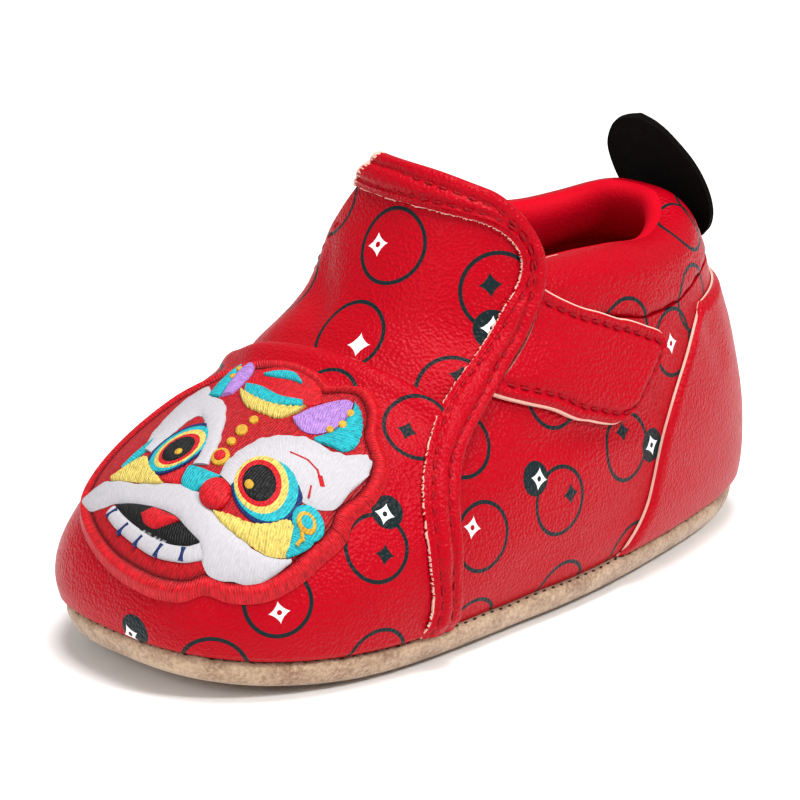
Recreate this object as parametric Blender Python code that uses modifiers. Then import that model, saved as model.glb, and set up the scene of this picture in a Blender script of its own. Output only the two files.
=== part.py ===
"""Pre-walker shoe: a soft left bootie with a turned suede sole, built on the shape of its last.

Metres, +Z up. The toe points to -Y, the heel to +Y, and the outer side with the strap is +X. The origin is
on the floor under the middle of the sole. Every panel is cut from one function, last(u, v): u runs round the
shoe (0 at the toe, 0.25 at the outer side, 0.5 at the heel), v from the sole seam (0) to the topline (1).
"""
import bmesh
import bpy
import numpy as np

MM = 0.001

# Driving dimensions in millimetres
WALL = 2.0
GAP = 0.35
PANEL = 0.9
BAND_THICK = 1.2
STRAP_THICK = 1.4
PATCH_THICK = 1.0
TOE_FLARE = 1.0
TOE_SPRING_FROM = 0.35
INSOLE_THICK = 3.0
INSOLE_INSET = 3.1
TRAY_FLOOR = 3.0
COLLAR_THICK = 7.6
COLLAR_TOP = 51.0
CREASE_SIDE = 39.6
CREASE_HEEL = 42.2
CREASE_FRONT = 45.2
THROAT_BOTTOM = 41.0
INSOLE_EDGE = 0.8
TAB_THICK = 1.2
TAB_BOW = 1.2

# Where panels end, as parts of the way round (u) and up (v) the last
PANEL_START = 0.012
SEAM_GAP = 0.006
SEAM_TOP = 0.685
SEAM_ARCH = 5.0
SEAM_MIDDLE = 0.015
EDGE_STEP = 0.002
FLAP_TOP = 0.994
FLAP_FALL = 2.42
FLAP_SLANT = 2.0
FLAP_CUT = -0.022
COUNTER_TOP = 0.66
COLLAR_SPAN = (0.150, 0.875)
CREASE_RISE = (0.285, 0.215)
CREASE_BACK = (0.30, 0.40)
THROAT_SIDE = (0.09, 0.15)

# How the ovals of the last pass from heel to ball, where the toe leans and where the shin begins
FORE = (-0.70, 0.60)
FLARE_FADE = 0.65
FLARE_END = (0.0, 0.6)
SHIN = (0.18, 0.80)
SHIN_RISE = (0.5, 0.8)
COLLAR_ROUND = 0.85

# Faces round and up each piece
RING_COUNT = 64
UPPER_ROWS = 16
PATCH_SPOKES = 60

# Sections of the last: how far round and how high each one lies, from the sole seam to the topline
LAST_COLUMNS = (
    "v", "toe", "heel", "ball_half", "heel_half", "toe_square", "heel_square", "toe_z", "side_z", "heel_z",
)
LAST_ROWS = (
    (0.00, -60.0, 59.5, 29.0, 21.5, 2.75, 2.45, 7.0, 4.5, 4.5),
    (0.10, -60.9, 60.0, 30.0, 23.2, 2.70, 2.45, 11.8, 9.5, 10.0),
    (0.22, -59.0, 59.8, 30.0, 23.9, 2.55, 2.40, 18.0, 15.5, 16.5),
    (0.34, -52.6, 58.9, 28.9, 23.7, 2.40, 2.35, 24.6, 22.0, 23.5),
    (0.48, -40.8, 57.0, 26.4, 22.8, 2.35, 2.30, 31.4, 28.5, 31.0),
    (0.62, -26.4, 54.6, 23.9, 21.5, 2.35, 2.25, 36.6, 35.0, 38.0),
    (0.74, -15.3, 52.9, 22.3, 20.2, 2.40, 2.20, 43.0, 40.5, 43.5),
    (0.86, -8.8, 50.9, 21.3, 19.0, 2.45, 2.20, 53.2, 46.0, 47.5),
    (1.00, -3.8, 49.4, 20.4, 17.8, 2.50, 2.20, 65.2, 50.5, 51.0),
)

# Rings of the sole, from the flat underside round the edge and into the tray
SOLE_COLUMNS = ("inset", "z")
SOLE_ROWS = ((5.0, 0.0), (2.6, 0.0), (1.3, 0.7), (0.4, 2.2), (0.0, 4.15), (2.3, 4.15), (2.75, TRAY_FLOOR))

# Edge band from its cut end on the flap's top, round the outer corner and down to the sole
BAND_COLUMNS = ("outer_u", "outer_v", "inner_u", "inner_v")
BAND_ROWS = (
    (-0.022, 1.000, -0.050, 0.936),
    (0.042, 0.993, 0.036, 0.932),
    (0.092, 0.976, 0.088, 0.923),
    (0.128, 0.956, 0.122, 0.908),
    (0.152, 0.935, 0.138, 0.893),
    (0.165, 0.900, 0.146, 0.870),
    (0.171, 0.845, 0.147, 0.832),
    (0.169, 0.780, 0.139, 0.775),
    (0.168, 0.700, 0.136, 0.700),
    (0.171, 0.610, 0.138, 0.605),
    (0.176, 0.500, 0.152, 0.500),
    (0.188, 0.385, 0.169, 0.380),
    (0.204, 0.245, 0.188, 0.240),
    (0.211, 0.120, 0.197, 0.120),
    (0.212, 0.015, 0.195, 0.015),
)

# Inner side edge of the vamp and the flap, up from the sole
INNER_EDGE_COLUMNS = ("v", "u")
INNER_EDGE_ROWS = ((0.00, -0.205), (0.30, -0.190), (0.60, -0.165), (0.80, -0.160), (1.00, -0.150))

# Front edge of the heel counter on each side, up from the sole to its top corner
COUNTER_COLUMNS = ("v", "u")
COUNTER_ROWS = ((0.00, 0.282), (0.15, 0.298), (0.36, 0.311), (0.52, 0.329), (0.60, 0.342), (0.66, 0.358))

# Strap from the band to its slanted end with rounded corners: the lines of its upper and lower edges
STRAP_COLUMNS = ("upper_u", "upper_v", "lower_u", "lower_v")
STRAP_ROWS = (
    (0.1755, 0.846, 0.1760, 0.612),
    (0.200, 0.832, 0.202, 0.580),
    (0.226, 0.800, 0.227, 0.542),
    (0.250, 0.752, 0.247, 0.490),
    (0.271, 0.708, 0.260, 0.454),
    (0.287, 0.672, 0.269, 0.441),
    (0.2945, 0.628, 0.2785, 0.472),
)

# Heel tab, up its middle line: where it lies and how wide it is
TAB_COLUMNS = ("y", "z", "half")
TAB_ROWS = (
    (54.2, 43.2, 5.0),
    (53.5, 45.6, 7.6),
    (52.4, 48.8, 9.2),
    (50.6, 52.6, 9.7),
    (48.3, 56.6, 8.9),
    (46.0, 60.2, 6.3),
    (44.7, 62.2, 3.0),
)

# Toe patch: where its drawing is centred on the last, its middle there and how far it reaches by angle
PATCH_AT = (0.030, 0.405)
PATCH_MIDDLE = (0.5, 3.0)
PATCH_COLUMNS = ("angle", "reach")
PATCH_ROWS = (
    (0.0, 17.8),
    (8.0, 17.4),
    (24.0, 19.3),
    (38.0, 20.7),
    (51.0, 20.6),
    (64.0, 22.8),
    (73.0, 22.8),
    (81.0, 20.0),
    (90.0, 20.9),
    (106.0, 22.5),
    (122.0, 23.6),
    (150.0, 23.4),
    (180.0, 23.0),
    (205.0, 23.4),
    (228.0, 22.2),
    (245.0, 21.4),
    (262.0, 21.0),
    (276.0, 20.9),
    (286.0, 20.4),
    (293.0, 19.4),
    (302.0, 19.8),
    (314.0, 19.7),
    (328.0, 18.8),
    (344.0, 17.8),
)

# Colours as linear RGB with roughness
RED = (0.52, 0.004, 0.012, 0.42)
BRIGHT_RED = (0.58, 0.006, 0.016, 0.45)
SUEDE = (0.60, 0.40, 0.24, 0.95)
LINING = (0.45, 0.004, 0.010, 0.85)
BLACK = (0.006, 0.004, 0.004, 0.80)


def named_columns(columns, rows):
    """A table's columns as arrays, by name."""
    return dict(zip(columns, np.array(rows, dtype=float).T))


LAST = named_columns(LAST_COLUMNS, LAST_ROWS)
SOLE = named_columns(SOLE_COLUMNS, SOLE_ROWS)
BAND = named_columns(BAND_COLUMNS, BAND_ROWS)
INNER_EDGE = named_columns(INNER_EDGE_COLUMNS, INNER_EDGE_ROWS)
COUNTER = named_columns(COUNTER_COLUMNS, COUNTER_ROWS)
STRAP = named_columns(STRAP_COLUMNS, STRAP_ROWS)
TAB = named_columns(TAB_COLUMNS, TAB_ROWS)
PATCH = named_columns(PATCH_COLUMNS, PATCH_ROWS)


def smooth(at, span):
    """An S-shaped step from 0 at the start of a span to 1 at its end."""
    t = np.clip((at - span[0]) / (span[1] - span[0]), 0.0, 1.0)
    return t * t * (3.0 - 2.0 * t)


def through(knots, values, at):
    """A smooth curve through a column's values: cubic pieces with centred slopes."""
    slopes = np.gradient(values, knots)
    k = np.clip(np.searchsorted(knots, at, side="right") - 1, 0, len(knots) - 2)
    step = knots[k + 1] - knots[k]
    t = (at - knots[k]) / step
    start = (1.0 + 2.0 * t) * (1.0 - t) ** 2 * values[k] + t * (1.0 - t) ** 2 * step * slopes[k]
    end = t * t * (3.0 - 2.0 * t) * values[k + 1] + t * t * (t - 1.0) * step * slopes[k + 1]
    return start + end


def along(table, name, t):
    """A column read along its table, t from 0 at the first row to 1 at the last."""
    return through(np.linspace(0.0, 1.0, len(table[name])), table[name], t)


def last(u, v, inset=0.0):
    """The last's surface in millimetres: rounded ovals that rise and shorten from the seam to the topline."""
    u, v = np.broadcast_arrays(np.asarray(u, dtype=float), np.asarray(v, dtype=float))
    row = {name: through(LAST["v"], LAST[name], v) for name in LAST_COLUMNS[1:]}
    c = np.cos(2.0 * np.pi * u)
    s = np.sin(2.0 * np.pi * u)
    fore = smooth(c, FORE)
    power = 2.0 / (row["heel_square"] + (row["toe_square"] - row["heel_square"]) * fore)
    half = row["heel_half"] + (row["ball_half"] - row["heel_half"]) * fore - inset
    reach = (row["heel"] - row["toe"]) / 2.0 - inset
    ahead = np.clip(c, 0.0, 1.0)
    flare = TOE_FLARE * ahead ** 2 * (1.0 - FLARE_FADE * smooth(v, FLARE_END))
    x = half * np.sign(s) * np.abs(s) ** power + flare
    y = (row["toe"] + row["heel"]) / 2.0 - reach * np.sign(c) * np.abs(c) ** power
    spring = np.clip((c - TOE_SPRING_FROM) / (1.0 - TOE_SPRING_FROM), 0.0, 1.0) ** 2
    front = spring + (smooth(c, SHIN) - spring) * smooth(v, SHIN_RISE)
    z = row["side_z"] + (row["toe_z"] - row["side_z"]) * front
    z = z + (row["heel_z"] - row["side_z"]) * np.clip(-c, 0.0, 1.0) ** 2
    return np.stack([x, y, z], axis=-1)


def outward(u, v):
    """Unit normals of the last, pointing out of the shoe."""
    step = 0.0005
    round_it = last(u + step, v) - last(u - step, v)
    up_it = last(u, v + step) - last(u, v - step)
    normal = np.cross(round_it, up_it)
    return normal / np.linalg.norm(normal, axis=-1, keepdims=True)


def panel(u, v, lift):
    """Points a given height above the last."""
    return last(u, v) + lift * outward(u, v)


def height_to_v(u, z):
    """How far up the last a height lies, by halving the range."""
    u, z = np.broadcast_arrays(np.asarray(u, dtype=float), np.asarray(z, dtype=float))
    low = np.zeros(u.shape)
    high = np.full(u.shape, 1.1)
    for _ in range(40):
        middle = (low + high) / 2.0
        below = last(u, middle)[..., 2] < z
        low = np.where(below, middle, low)
        high = np.where(below, high, middle)
    return (low + high) / 2.0


def from_toe(u):
    """How far round from the toe a place is, the same on both sides."""
    return np.abs((np.asarray(u) + 0.5) % 1.0 - 0.5)


def crease_height(u):
    """Height of the stitched crease under the collar, higher towards the flap and the heel."""
    front = (CREASE_FRONT - CREASE_SIDE) * smooth(from_toe(u), CREASE_RISE)
    return CREASE_SIDE + front + (CREASE_HEEL - CREASE_SIDE) * smooth(from_toe(u), CREASE_BACK)


def instep_seam(u):
    """v of the seam between vamp and flap, an arch over the instep."""
    return SEAM_TOP - SEAM_ARCH * (u - SEAM_MIDDLE) ** 2


def outer_edge(v):
    """u of the band's outer edge at a height on the outer side, corner to sole."""
    falling = BAND["outer_v"][3:][::-1]
    return through(falling, BAND["outer_u"][3:][::-1], v)


def inner_edge(v):
    """u of the inner side edge of vamp and flap."""
    return through(INNER_EDGE["v"], INNER_EDGE["u"], v)


def flap_top(u):
    """v of the flap's top edge: it bows down to the outer corner and slants down past the band's cut end."""
    return FLAP_TOP - FLAP_FALL * np.clip(u, 0.0, 1.0) ** 2 - FLAP_SLANT * np.clip(FLAP_CUT - u, 0.0, 1.0)


def add_object(name, mesh, colour):
    """A named object with its own plain material, in the shoe's collection."""
    material = bpy.data.materials.new(name)
    material.use_nodes = True
    shader = material.node_tree.nodes["Principled BSDF"]
    shader.inputs["Base Color"].default_value = (*colour[:3], 1.0)
    shader.inputs["Roughness"].default_value = colour[3]
    mesh.materials.append(material)
    mesh.shade_smooth()
    mesh.set_sharp_from_angle(angle=np.radians(40.0))
    thing = bpy.data.objects.new(name, mesh)
    shoe.objects.link(thing)
    return thing


def lattice(points, ring=False):
    """An open mesh of quads over rows and columns of points, its columns joined up where it is a ring."""
    rows, columns = points.shape[:2]
    index = np.arange(rows * columns).reshape(rows, columns)
    if ring:
        index = np.hstack([index, index[:, :1]])
    quads = np.stack([index[:-1, :-1], index[:-1, 1:], index[1:, 1:], index[1:, :-1]], axis=-1)
    mesh = bpy.data.meshes.new("lattice")
    mesh.from_pydata((points.reshape(-1, 3) * MM).tolist(), [], quads.reshape(-1, 4).tolist())
    return mesh


def add_wall(name, mesh, thickness, colour, outwards=True):
    """A sheet of even thickness grown from an open mesh, away from the foot or towards it."""
    wall = add_object(name, mesh, colour).modifiers.new("wall", "SOLIDIFY")
    wall.thickness = thickness * MM
    wall.offset = 1.0 if outwards else -1.0


def add_shell(name, points, thickness, colour, outwards=True, ring=False):
    """A sheet of even thickness over rows and columns of points."""
    add_wall(name, lattice(points, ring), thickness, colour, outwards)


def strips_across(index):
    """Faces that close a ring of points with strips from one side of the shoe to the other."""
    count = len(index)
    half = count // 2
    faces = [(index[0], index[1], index[-1])]
    for k in range(1, half - 1):
        faces.append((index[k], index[k + 1], index[count - k - 1], index[count - k]))
    faces.append((index[half - 1], index[half], index[half + 1]))
    return faces


def add_stack(name, rings, colour):
    """A solid through closed rings of points, from its underside up, closed below and above by strips."""
    points = np.stack(rings)
    mesh = lattice(points, ring=True)
    solid = bmesh.new()
    solid.from_mesh(mesh)
    solid.verts.ensure_lookup_table()
    count = points.shape[1]
    below = [solid.verts[k] for k in range(count)]
    above = [solid.verts[k] for k in range(len(solid.verts) - count, len(solid.verts))]
    for face in strips_across(below):
        solid.faces.new(face[::-1])
    for face in strips_across(above):
        solid.faces.new(face)
    bmesh.ops.recalc_face_normals(solid, faces=solid.faces)
    solid.to_mesh(mesh)
    solid.free()
    add_object(name, mesh, colour)


def sole_ring(u, inset, z):
    """A ring of the sole: the seam's outline drawn in, at a height that rises with the toe spring."""
    ring = last(u, 0.0, inset)
    ring[..., 2] = ring[..., 2] - LAST["side_z"][0] + z
    return ring


def ring_places():
    """Places round the shoe, toe first."""
    return np.arange(RING_COUNT) / RING_COUNT


def make_outsole():
    """The suede tray: flat underside, rounded edge up to the seam, rim and floor."""
    u = ring_places()
    add_stack("outsole", [sole_ring(u, inset, z) for inset, z in zip(SOLE["inset"], SOLE["z"])], SUEDE)


def make_insole():
    """The footbed on the tray's floor, with a softened upper edge."""
    u = ring_places()
    bottom = TRAY_FLOOR + GAP
    top = bottom + INSOLE_THICK
    levels = ((INSOLE_INSET, bottom), (INSOLE_INSET, top - INSOLE_EDGE), (INSOLE_INSET + INSOLE_EDGE, top))
    add_stack("insole", [sole_ring(u, inset, z) for inset, z in levels], LINING)


def make_upper():
    """The hollow upper: the last's surface from the seam to the crease and throat, its wall inside."""
    u = ring_places()
    beside = smooth(from_toe(u), THROAT_SIDE)
    top = THROAT_BOTTOM + (crease_height(u) - THROAT_BOTTOM) * beside
    rows = np.linspace(0.0, 1.0, UPPER_ROWS + 1)[:, None]
    add_shell("upper", last(u, rows * height_to_v(u, top)), WALL, RED, outwards=False, ring=True)


def between_edges(across, v):
    """u across the front panels, from their inner side edge to just inside the band's outer edge."""
    return inner_edge(v) + across * (outer_edge(v) - EDGE_STEP - inner_edge(v))


def make_vamp():
    """The toe panel, from just above the sole seam to the instep seam, inner side edge to band."""
    across = np.linspace(0.0, 1.0, 21)
    up = np.linspace(0.0, 1.0, 14)[:, None]
    v = PANEL_START + (instep_seam(0.0) - PANEL_START) * up
    for _ in range(2):
        u = between_edges(across, v)
        v = PANEL_START + (instep_seam(u) - SEAM_GAP - PANEL_START) * up
    add_shell("vamp", panel(u, v, GAP), PANEL, RED)


def make_front_flap():
    """The flap over the throat, from the instep seam to its top edge."""
    across = np.linspace(0.0, 1.0, 19)
    up = np.linspace(0.0, 1.0, 9)[:, None]
    start = instep_seam(0.0)
    u = between_edges(across, start + (BAND["outer_v"][3] - start) * up)
    start = instep_seam(u) + SEAM_GAP
    add_shell("front_flap", panel(u, start + (flap_top(u) - start) * up, GAP), PANEL, RED)


def make_edge_band():
    """The plain band on top of the flap's and the vamp's edge."""
    t = np.linspace(0.0, 1.0, 41)[:, None]
    across = np.linspace(0.0, 1.0, 3)
    u = along(BAND, "outer_u", t) + across * (along(BAND, "inner_u", t) - along(BAND, "outer_u", t))
    v = along(BAND, "outer_v", t) + across * (along(BAND, "inner_v", t) - along(BAND, "outer_v", t))
    points = panel(u, v, 2.0 * GAP + PANEL)
    add_shell("edge_band", points, BAND_THICK, BRIGHT_RED)


def make_strap_tab():
    """The closing strap on the outer quarter, with a slanted end and rounded corners."""
    t = np.linspace(0.0, 1.0, 17)[:, None]
    across = np.linspace(0.0, 1.0, 6)
    u = along(STRAP, "lower_u", t) + across * (along(STRAP, "upper_u", t) - along(STRAP, "lower_u", t))
    v = along(STRAP, "lower_v", t) + across * (along(STRAP, "upper_v", t) - along(STRAP, "lower_v", t))
    points = panel(u, v, GAP)
    add_shell("strap_tab", points.transpose(1, 0, 2), STRAP_THICK, BRIGHT_RED)


def make_heel_counter():
    """The plain overlay round the heel, between its two front edges."""
    v = np.linspace(PANEL_START, COUNTER_TOP, 10)[:, None]
    across = np.linspace(0.0, 1.0, 19)
    front = through(COUNTER["v"], COUNTER["u"], v)
    u = front + across * (1.0 - 2.0 * front)
    add_shell("heel_counter", panel(u, v, GAP), PANEL, BRIGHT_RED)


def make_collar():
    """The padded collar: a rounded section carried round the ankle, its outer face on the last."""
    u = np.linspace(*COLLAR_SPAN, 43)[:, None]
    angle = np.linspace(0.0, 2.0 * np.pi, 13)[:-1]
    low = crease_height(u) + GAP
    middle = (low + COLLAR_TOP) / 2.0
    swing = np.sign(np.sin(angle)) * np.abs(np.sin(angle)) ** COLLAR_ROUND
    depth = np.sign(np.cos(angle)) * np.abs(np.cos(angle)) ** COLLAR_ROUND
    v = height_to_v(u, middle + (COLLAR_TOP - low) / 2.0 * swing)
    normal = outward(u + 0.0 * angle, v)
    normal[..., 2] = 0.0
    normal = normal / np.linalg.norm(normal, axis=-1, keepdims=True)
    points = last(u, v) + normal * (COLLAR_THICK / 2.0 * (depth - 1.0))[..., None]
    mesh = lattice(points, ring=True)
    solid = bmesh.new()
    solid.from_mesh(mesh)
    bmesh.ops.holes_fill(solid, edges=[edge for edge in solid.edges if edge.is_boundary], sides=len(angle))
    bmesh.ops.recalc_face_normals(solid, faces=solid.faces)
    solid.to_mesh(mesh)
    solid.free()
    add_object("collar", mesh, RED)


def make_heel_tab():
    """The oval pull tab: a sheet bent along its middle line behind the collar, leaning forward above it."""
    t = np.linspace(0.0, 1.0, 13)[:, None]
    across = np.linspace(-1.0, 1.0, 9)
    half = along(TAB, "half", t)
    x = half * across
    y = along(TAB, "y", t) - TAB_BOW * (across * half / TAB["half"].max()) ** 2
    z = along(TAB, "z", t) + 0.0 * across
    add_shell("heel_tab", np.stack([x, y, z], axis=-1), TAB_THICK, BLACK, outwards=False)


def patch_frame():
    """The patch drawing's middle on the last and its two directions, across the toe and up it."""
    u, v = PATCH_AT
    up = last(u, v + 0.01) - last(u, v - 0.01)
    up = up / np.linalg.norm(up)
    return last(u, v), np.cross(up, outward(u, v)), up


def drawing_to_last(want):
    """Places (u, v) on the last under points of the flat drawing, by Newton's steps."""
    middle, side, up = patch_frame()

    def flat(place):
        offset = last(place[..., 0], place[..., 1]) - middle
        return np.stack([offset @ side, offset @ up], axis=-1)

    step = 0.001
    place = np.zeros(want.shape) + np.array(PATCH_AT)
    for _ in range(12):
        here = flat(place)
        by_u = (flat(place + np.array([step, 0.0])) - here) / step
        by_v = (flat(place + np.array([0.0, step])) - here) / step
        slope = np.stack([by_u, by_v], axis=-1)
        place = place + np.linalg.solve(slope, (want - here)[..., None])[..., 0]
    return place


def make_toe_patch():
    """The embroidered patch: rings from its middle out to its lobed outline, laid on the vamp."""
    turn = np.radians(np.arange(PATCH_SPOKES) * 360.0 / PATCH_SPOKES)
    angle = np.append(PATCH["angle"], 360.0)
    reach = through(angle, np.append(PATCH["reach"], PATCH["reach"][0]), np.degrees(turn))
    out = np.linspace(1.0, 0.12, 6)[:, None] * reach
    want = np.stack([out * np.cos(turn), out * np.sin(turn)], axis=-1) + np.array(PATCH_MIDDLE)
    place = drawing_to_last(want)
    points = panel(place[..., 0], place[..., 1], 2.0 * GAP + PANEL)
    mesh = lattice(points, ring=True)
    sheet = bmesh.new()
    sheet.from_mesh(mesh)
    sheet.verts.ensure_lookup_table()
    sheet.faces.new([sheet.verts[k] for k in range(len(sheet.verts) - PATCH_SPOKES, len(sheet.verts))])
    sheet.to_mesh(mesh)
    sheet.free()
    add_wall("toe_patch", mesh, PATCH_THICK, RED)


shoe = bpy.data.collections.new("pre_walker_shoe")


def main():
    for thing in list(bpy.data.objects):
        bpy.data.objects.remove(thing)
    bpy.context.scene.collection.children.link(shoe)
    make_outsole()
    make_insole()
    make_upper()
    make_vamp()
    make_front_flap()
    make_edge_band()
    make_strap_tab()
    make_heel_counter()
    make_collar()
    make_heel_tab()
    make_toe_patch()


main()
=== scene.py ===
"""Looks of the pre-walker shoe: printed leather panels, suede sole, padding, stitching and embroidery.

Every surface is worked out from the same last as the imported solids: last(u, v), with u round the shoe (0 at
the toe, 0.25 at the outer side, 0.5 at the heel) and v from the sole seam (0) to the topline (1).
Millimetres are used for shapes, and meshes are in metres.
"""

import bmesh
import bpy
import numpy as np
from mathutils import Matrix, Vector


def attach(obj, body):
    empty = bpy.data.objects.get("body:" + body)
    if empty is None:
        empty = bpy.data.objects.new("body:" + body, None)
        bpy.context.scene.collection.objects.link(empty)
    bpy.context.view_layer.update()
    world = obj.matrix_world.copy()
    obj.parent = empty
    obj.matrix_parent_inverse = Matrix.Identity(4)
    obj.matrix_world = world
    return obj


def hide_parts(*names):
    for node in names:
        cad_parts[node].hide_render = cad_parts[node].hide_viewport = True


bl_info = {
    "name": "Pre-walker shoe",
    "version": (1, 0, 0),
    "blender": (4, 5, 0),
    "location": "View3D > Sidebar > Shoe",
    "description": "Builds the leather, suede, padding, stitching and embroidery of a soft baby shoe",
    "category": "Mesh",
}

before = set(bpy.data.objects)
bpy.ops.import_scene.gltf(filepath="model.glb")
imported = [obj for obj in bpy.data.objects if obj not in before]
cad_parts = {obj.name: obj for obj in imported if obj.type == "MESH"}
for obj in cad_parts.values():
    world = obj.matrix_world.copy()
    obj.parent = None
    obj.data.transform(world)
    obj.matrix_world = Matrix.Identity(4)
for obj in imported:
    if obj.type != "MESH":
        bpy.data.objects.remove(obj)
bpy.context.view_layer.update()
MM = 0.001
SAME_POINT = 1e-7

# Sizes of the solids, in millimetres
WALL = 2.0
GAP = 0.35
PANEL = 0.9
PANEL_BACK = 0.12
STRAP_THICK = 1.4
TOE_FLARE = 1.0
TRAY_FLOOR = 3.0
INSOLE_INSET = 3.1
COLLAR_THICK = 7.6
COLLAR_TOP = 51.0
CREASE_SIDE = 39.6
CREASE_HEEL = 42.2
THROAT_BOTTOM = 41.0
TAB_THICK = 1.2
TAB_BOW = 1.2

# Sizes of the soft forms where they leave the solids, in millimetres
LINING_INSET = 2.1
CREASE_FRONT = 42.5
COLLAR_DIP = 1.8
COLLAR_RISE = 1.4

# Where panels and soft forms lie, as parts of the way round (u) and up (v) the last
PANEL_START = 0.012
SEAM_GAP = 0.006
SEAM_TOP = 0.685
SEAM_ARCH = 5.0
SEAM_MIDDLE = 0.015
EDGE_STEP = 0.006
FLAP_TOP = 0.990
FLAP_FALL = 2.42
FLAP_SLANT = 2.0
FLAP_CUT = -0.024
COUNTER_TOP = 0.66
COLLAR_SPAN = (0.150, 0.875)
CREASE_RISE = (0.285, 0.215)
CREASE_BACK = (0.30, 0.40)
THROAT_SIDE = (0.09, 0.15)
COLLAR_DIP_AT = 0.315
COLLAR_DIP_WIDTH = 0.06
COLLAR_RISE_SPAN = (0.36, 0.46)

# How the ovals of the last change from heel to toe (cosine of the way round) and from seam to topline (v)
FORE = (-0.70, 0.60)
TOE_SPRING_FROM = 0.35
FLARE_FADE = 0.65
FLARE_END = (0.0, 0.6)
SHIN = (0.18, 0.80)
SHIN_RISE = (0.5, 0.8)

# Powers that make the collar's section squarer, above and at its lower outside
COLLAR_ROUND = 0.85
COLLAR_ROUND_BELOW = 0.34

# Sections of the last, from the sole seam to the topline
LAST_COLUMNS = (
    "v", "toe", "heel", "ball_half", "heel_half", "toe_square", "heel_square", "toe_z", "side_z", "heel_z",
)
LAST_ROWS = (
    (0.00, -60.0, 59.5, 29.0, 21.5, 2.75, 2.45, 7.0, 4.5, 4.5),
    (0.10, -60.9, 60.0, 30.0, 23.2, 2.70, 2.45, 11.8, 9.5, 10.0),
    (0.22, -59.0, 59.8, 30.0, 23.9, 2.55, 2.40, 18.0, 15.5, 16.5),
    (0.34, -52.6, 58.9, 28.9, 23.7, 2.40, 2.35, 24.6, 22.0, 23.5),
    (0.48, -40.8, 57.0, 26.4, 22.8, 2.35, 2.30, 31.4, 28.5, 31.0),
    (0.62, -26.4, 54.6, 23.9, 21.5, 2.35, 2.25, 36.6, 35.0, 38.0),
    (0.74, -15.3, 52.9, 22.3, 20.2, 2.40, 2.20, 43.0, 40.5, 43.5),
    (0.86, -8.8, 50.9, 21.3, 19.0, 2.45, 2.20, 53.2, 46.0, 47.5),
    (1.00, -3.8, 49.4, 20.4, 17.8, 2.50, 2.20, 65.2, 50.5, 51.0),
)

# Edge band from its cut end on the flap's top, round the outer corner and down to the sole
BAND_COLUMNS = ("outer_u", "outer_v", "inner_u", "inner_v")
BAND_ROWS = (
    (-0.022, 1.000, -0.050, 0.936),
    (0.042, 0.993, 0.036, 0.932),
    (0.092, 0.976, 0.088, 0.923),
    (0.128, 0.956, 0.122, 0.908),
    (0.152, 0.935, 0.138, 0.893),
    (0.165, 0.900, 0.146, 0.870),
    (0.171, 0.845, 0.147, 0.832),
    (0.169, 0.780, 0.139, 0.775),
    (0.168, 0.700, 0.136, 0.700),
    (0.171, 0.610, 0.138, 0.605),
    (0.176, 0.500, 0.152, 0.500),
    (0.188, 0.385, 0.169, 0.380),
    (0.204, 0.245, 0.188, 0.240),
    (0.211, 0.120, 0.197, 0.120),
    (0.212, 0.015, 0.195, 0.015),
)
BAND_CORNER = 3

# Inner side edge of the vamp and the flap, up from the sole
INNER_EDGE_COLUMNS = ("v", "u")
INNER_EDGE_ROWS = ((0.00, -0.205), (0.30, -0.190), (0.60, -0.165), (0.80, -0.160), (1.00, -0.150))

# Front edge of the heel counter on each side
COUNTER_COLUMNS = ("v", "u")
COUNTER_ROWS = ((0.00, 0.282), (0.15, 0.298), (0.36, 0.311), (0.52, 0.329), (0.60, 0.342), (0.66, 0.358))

# Strap from under the band to its slanted end: the lines of its upper and lower edges
STRAP_COLUMNS = ("upper_u", "upper_v", "lower_u", "lower_v")
STRAP_ROWS = (
    (0.1700, 0.848, 0.1705, 0.618),
    (0.200, 0.832, 0.202, 0.580),
    (0.226, 0.800, 0.227, 0.542),
    (0.250, 0.752, 0.247, 0.490),
    (0.271, 0.708, 0.260, 0.454),
    (0.287, 0.672, 0.269, 0.441),
    (0.2945, 0.628, 0.2785, 0.472),
)

# Heel tab up its middle line
TAB_COLUMNS = ("y", "z", "half")
TAB_ROWS = (
    (54.2, 43.2, 5.0),
    (53.5, 45.6, 7.6),
    (52.4, 48.8, 9.2),
    (50.6, 52.6, 9.7),
    (48.3, 56.6, 8.9),
    (46.0, 60.2, 6.3),
    (45.0, 61.9, 3.8),
    (44.5, 62.7, 0.5),
)

# Edge of the sole from its flat underside up to the seam and into the tray
SOLE_COLUMNS = ("inset", "z")
SOLE_ROWS = (
    (4.2, 0.0),
    (2.7, 0.08),
    (1.5, 0.45),
    (0.5, 1.2),
    (-0.1, 2.2),
    (-0.5, 3.2),
    (-0.55, 4.0),
    (-0.1, 4.55),
    (0.9, 4.6),
    (2.2, 4.0),
    (2.8, TRAY_FLOOR),
)

# Footbed from its underside to its soft top: how far in from the seam, and the height above its underside
FOOTBED_ROWS = (
    (INSOLE_INSET, 0.0),
    (INSOLE_INSET, 0.9),
    (LINING_INSET, 1.6),
    (LINING_INSET, 2.4),
    (LINING_INSET + 0.6, 2.85),
    (LINING_INSET + 1.8, 3.0),
)

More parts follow.
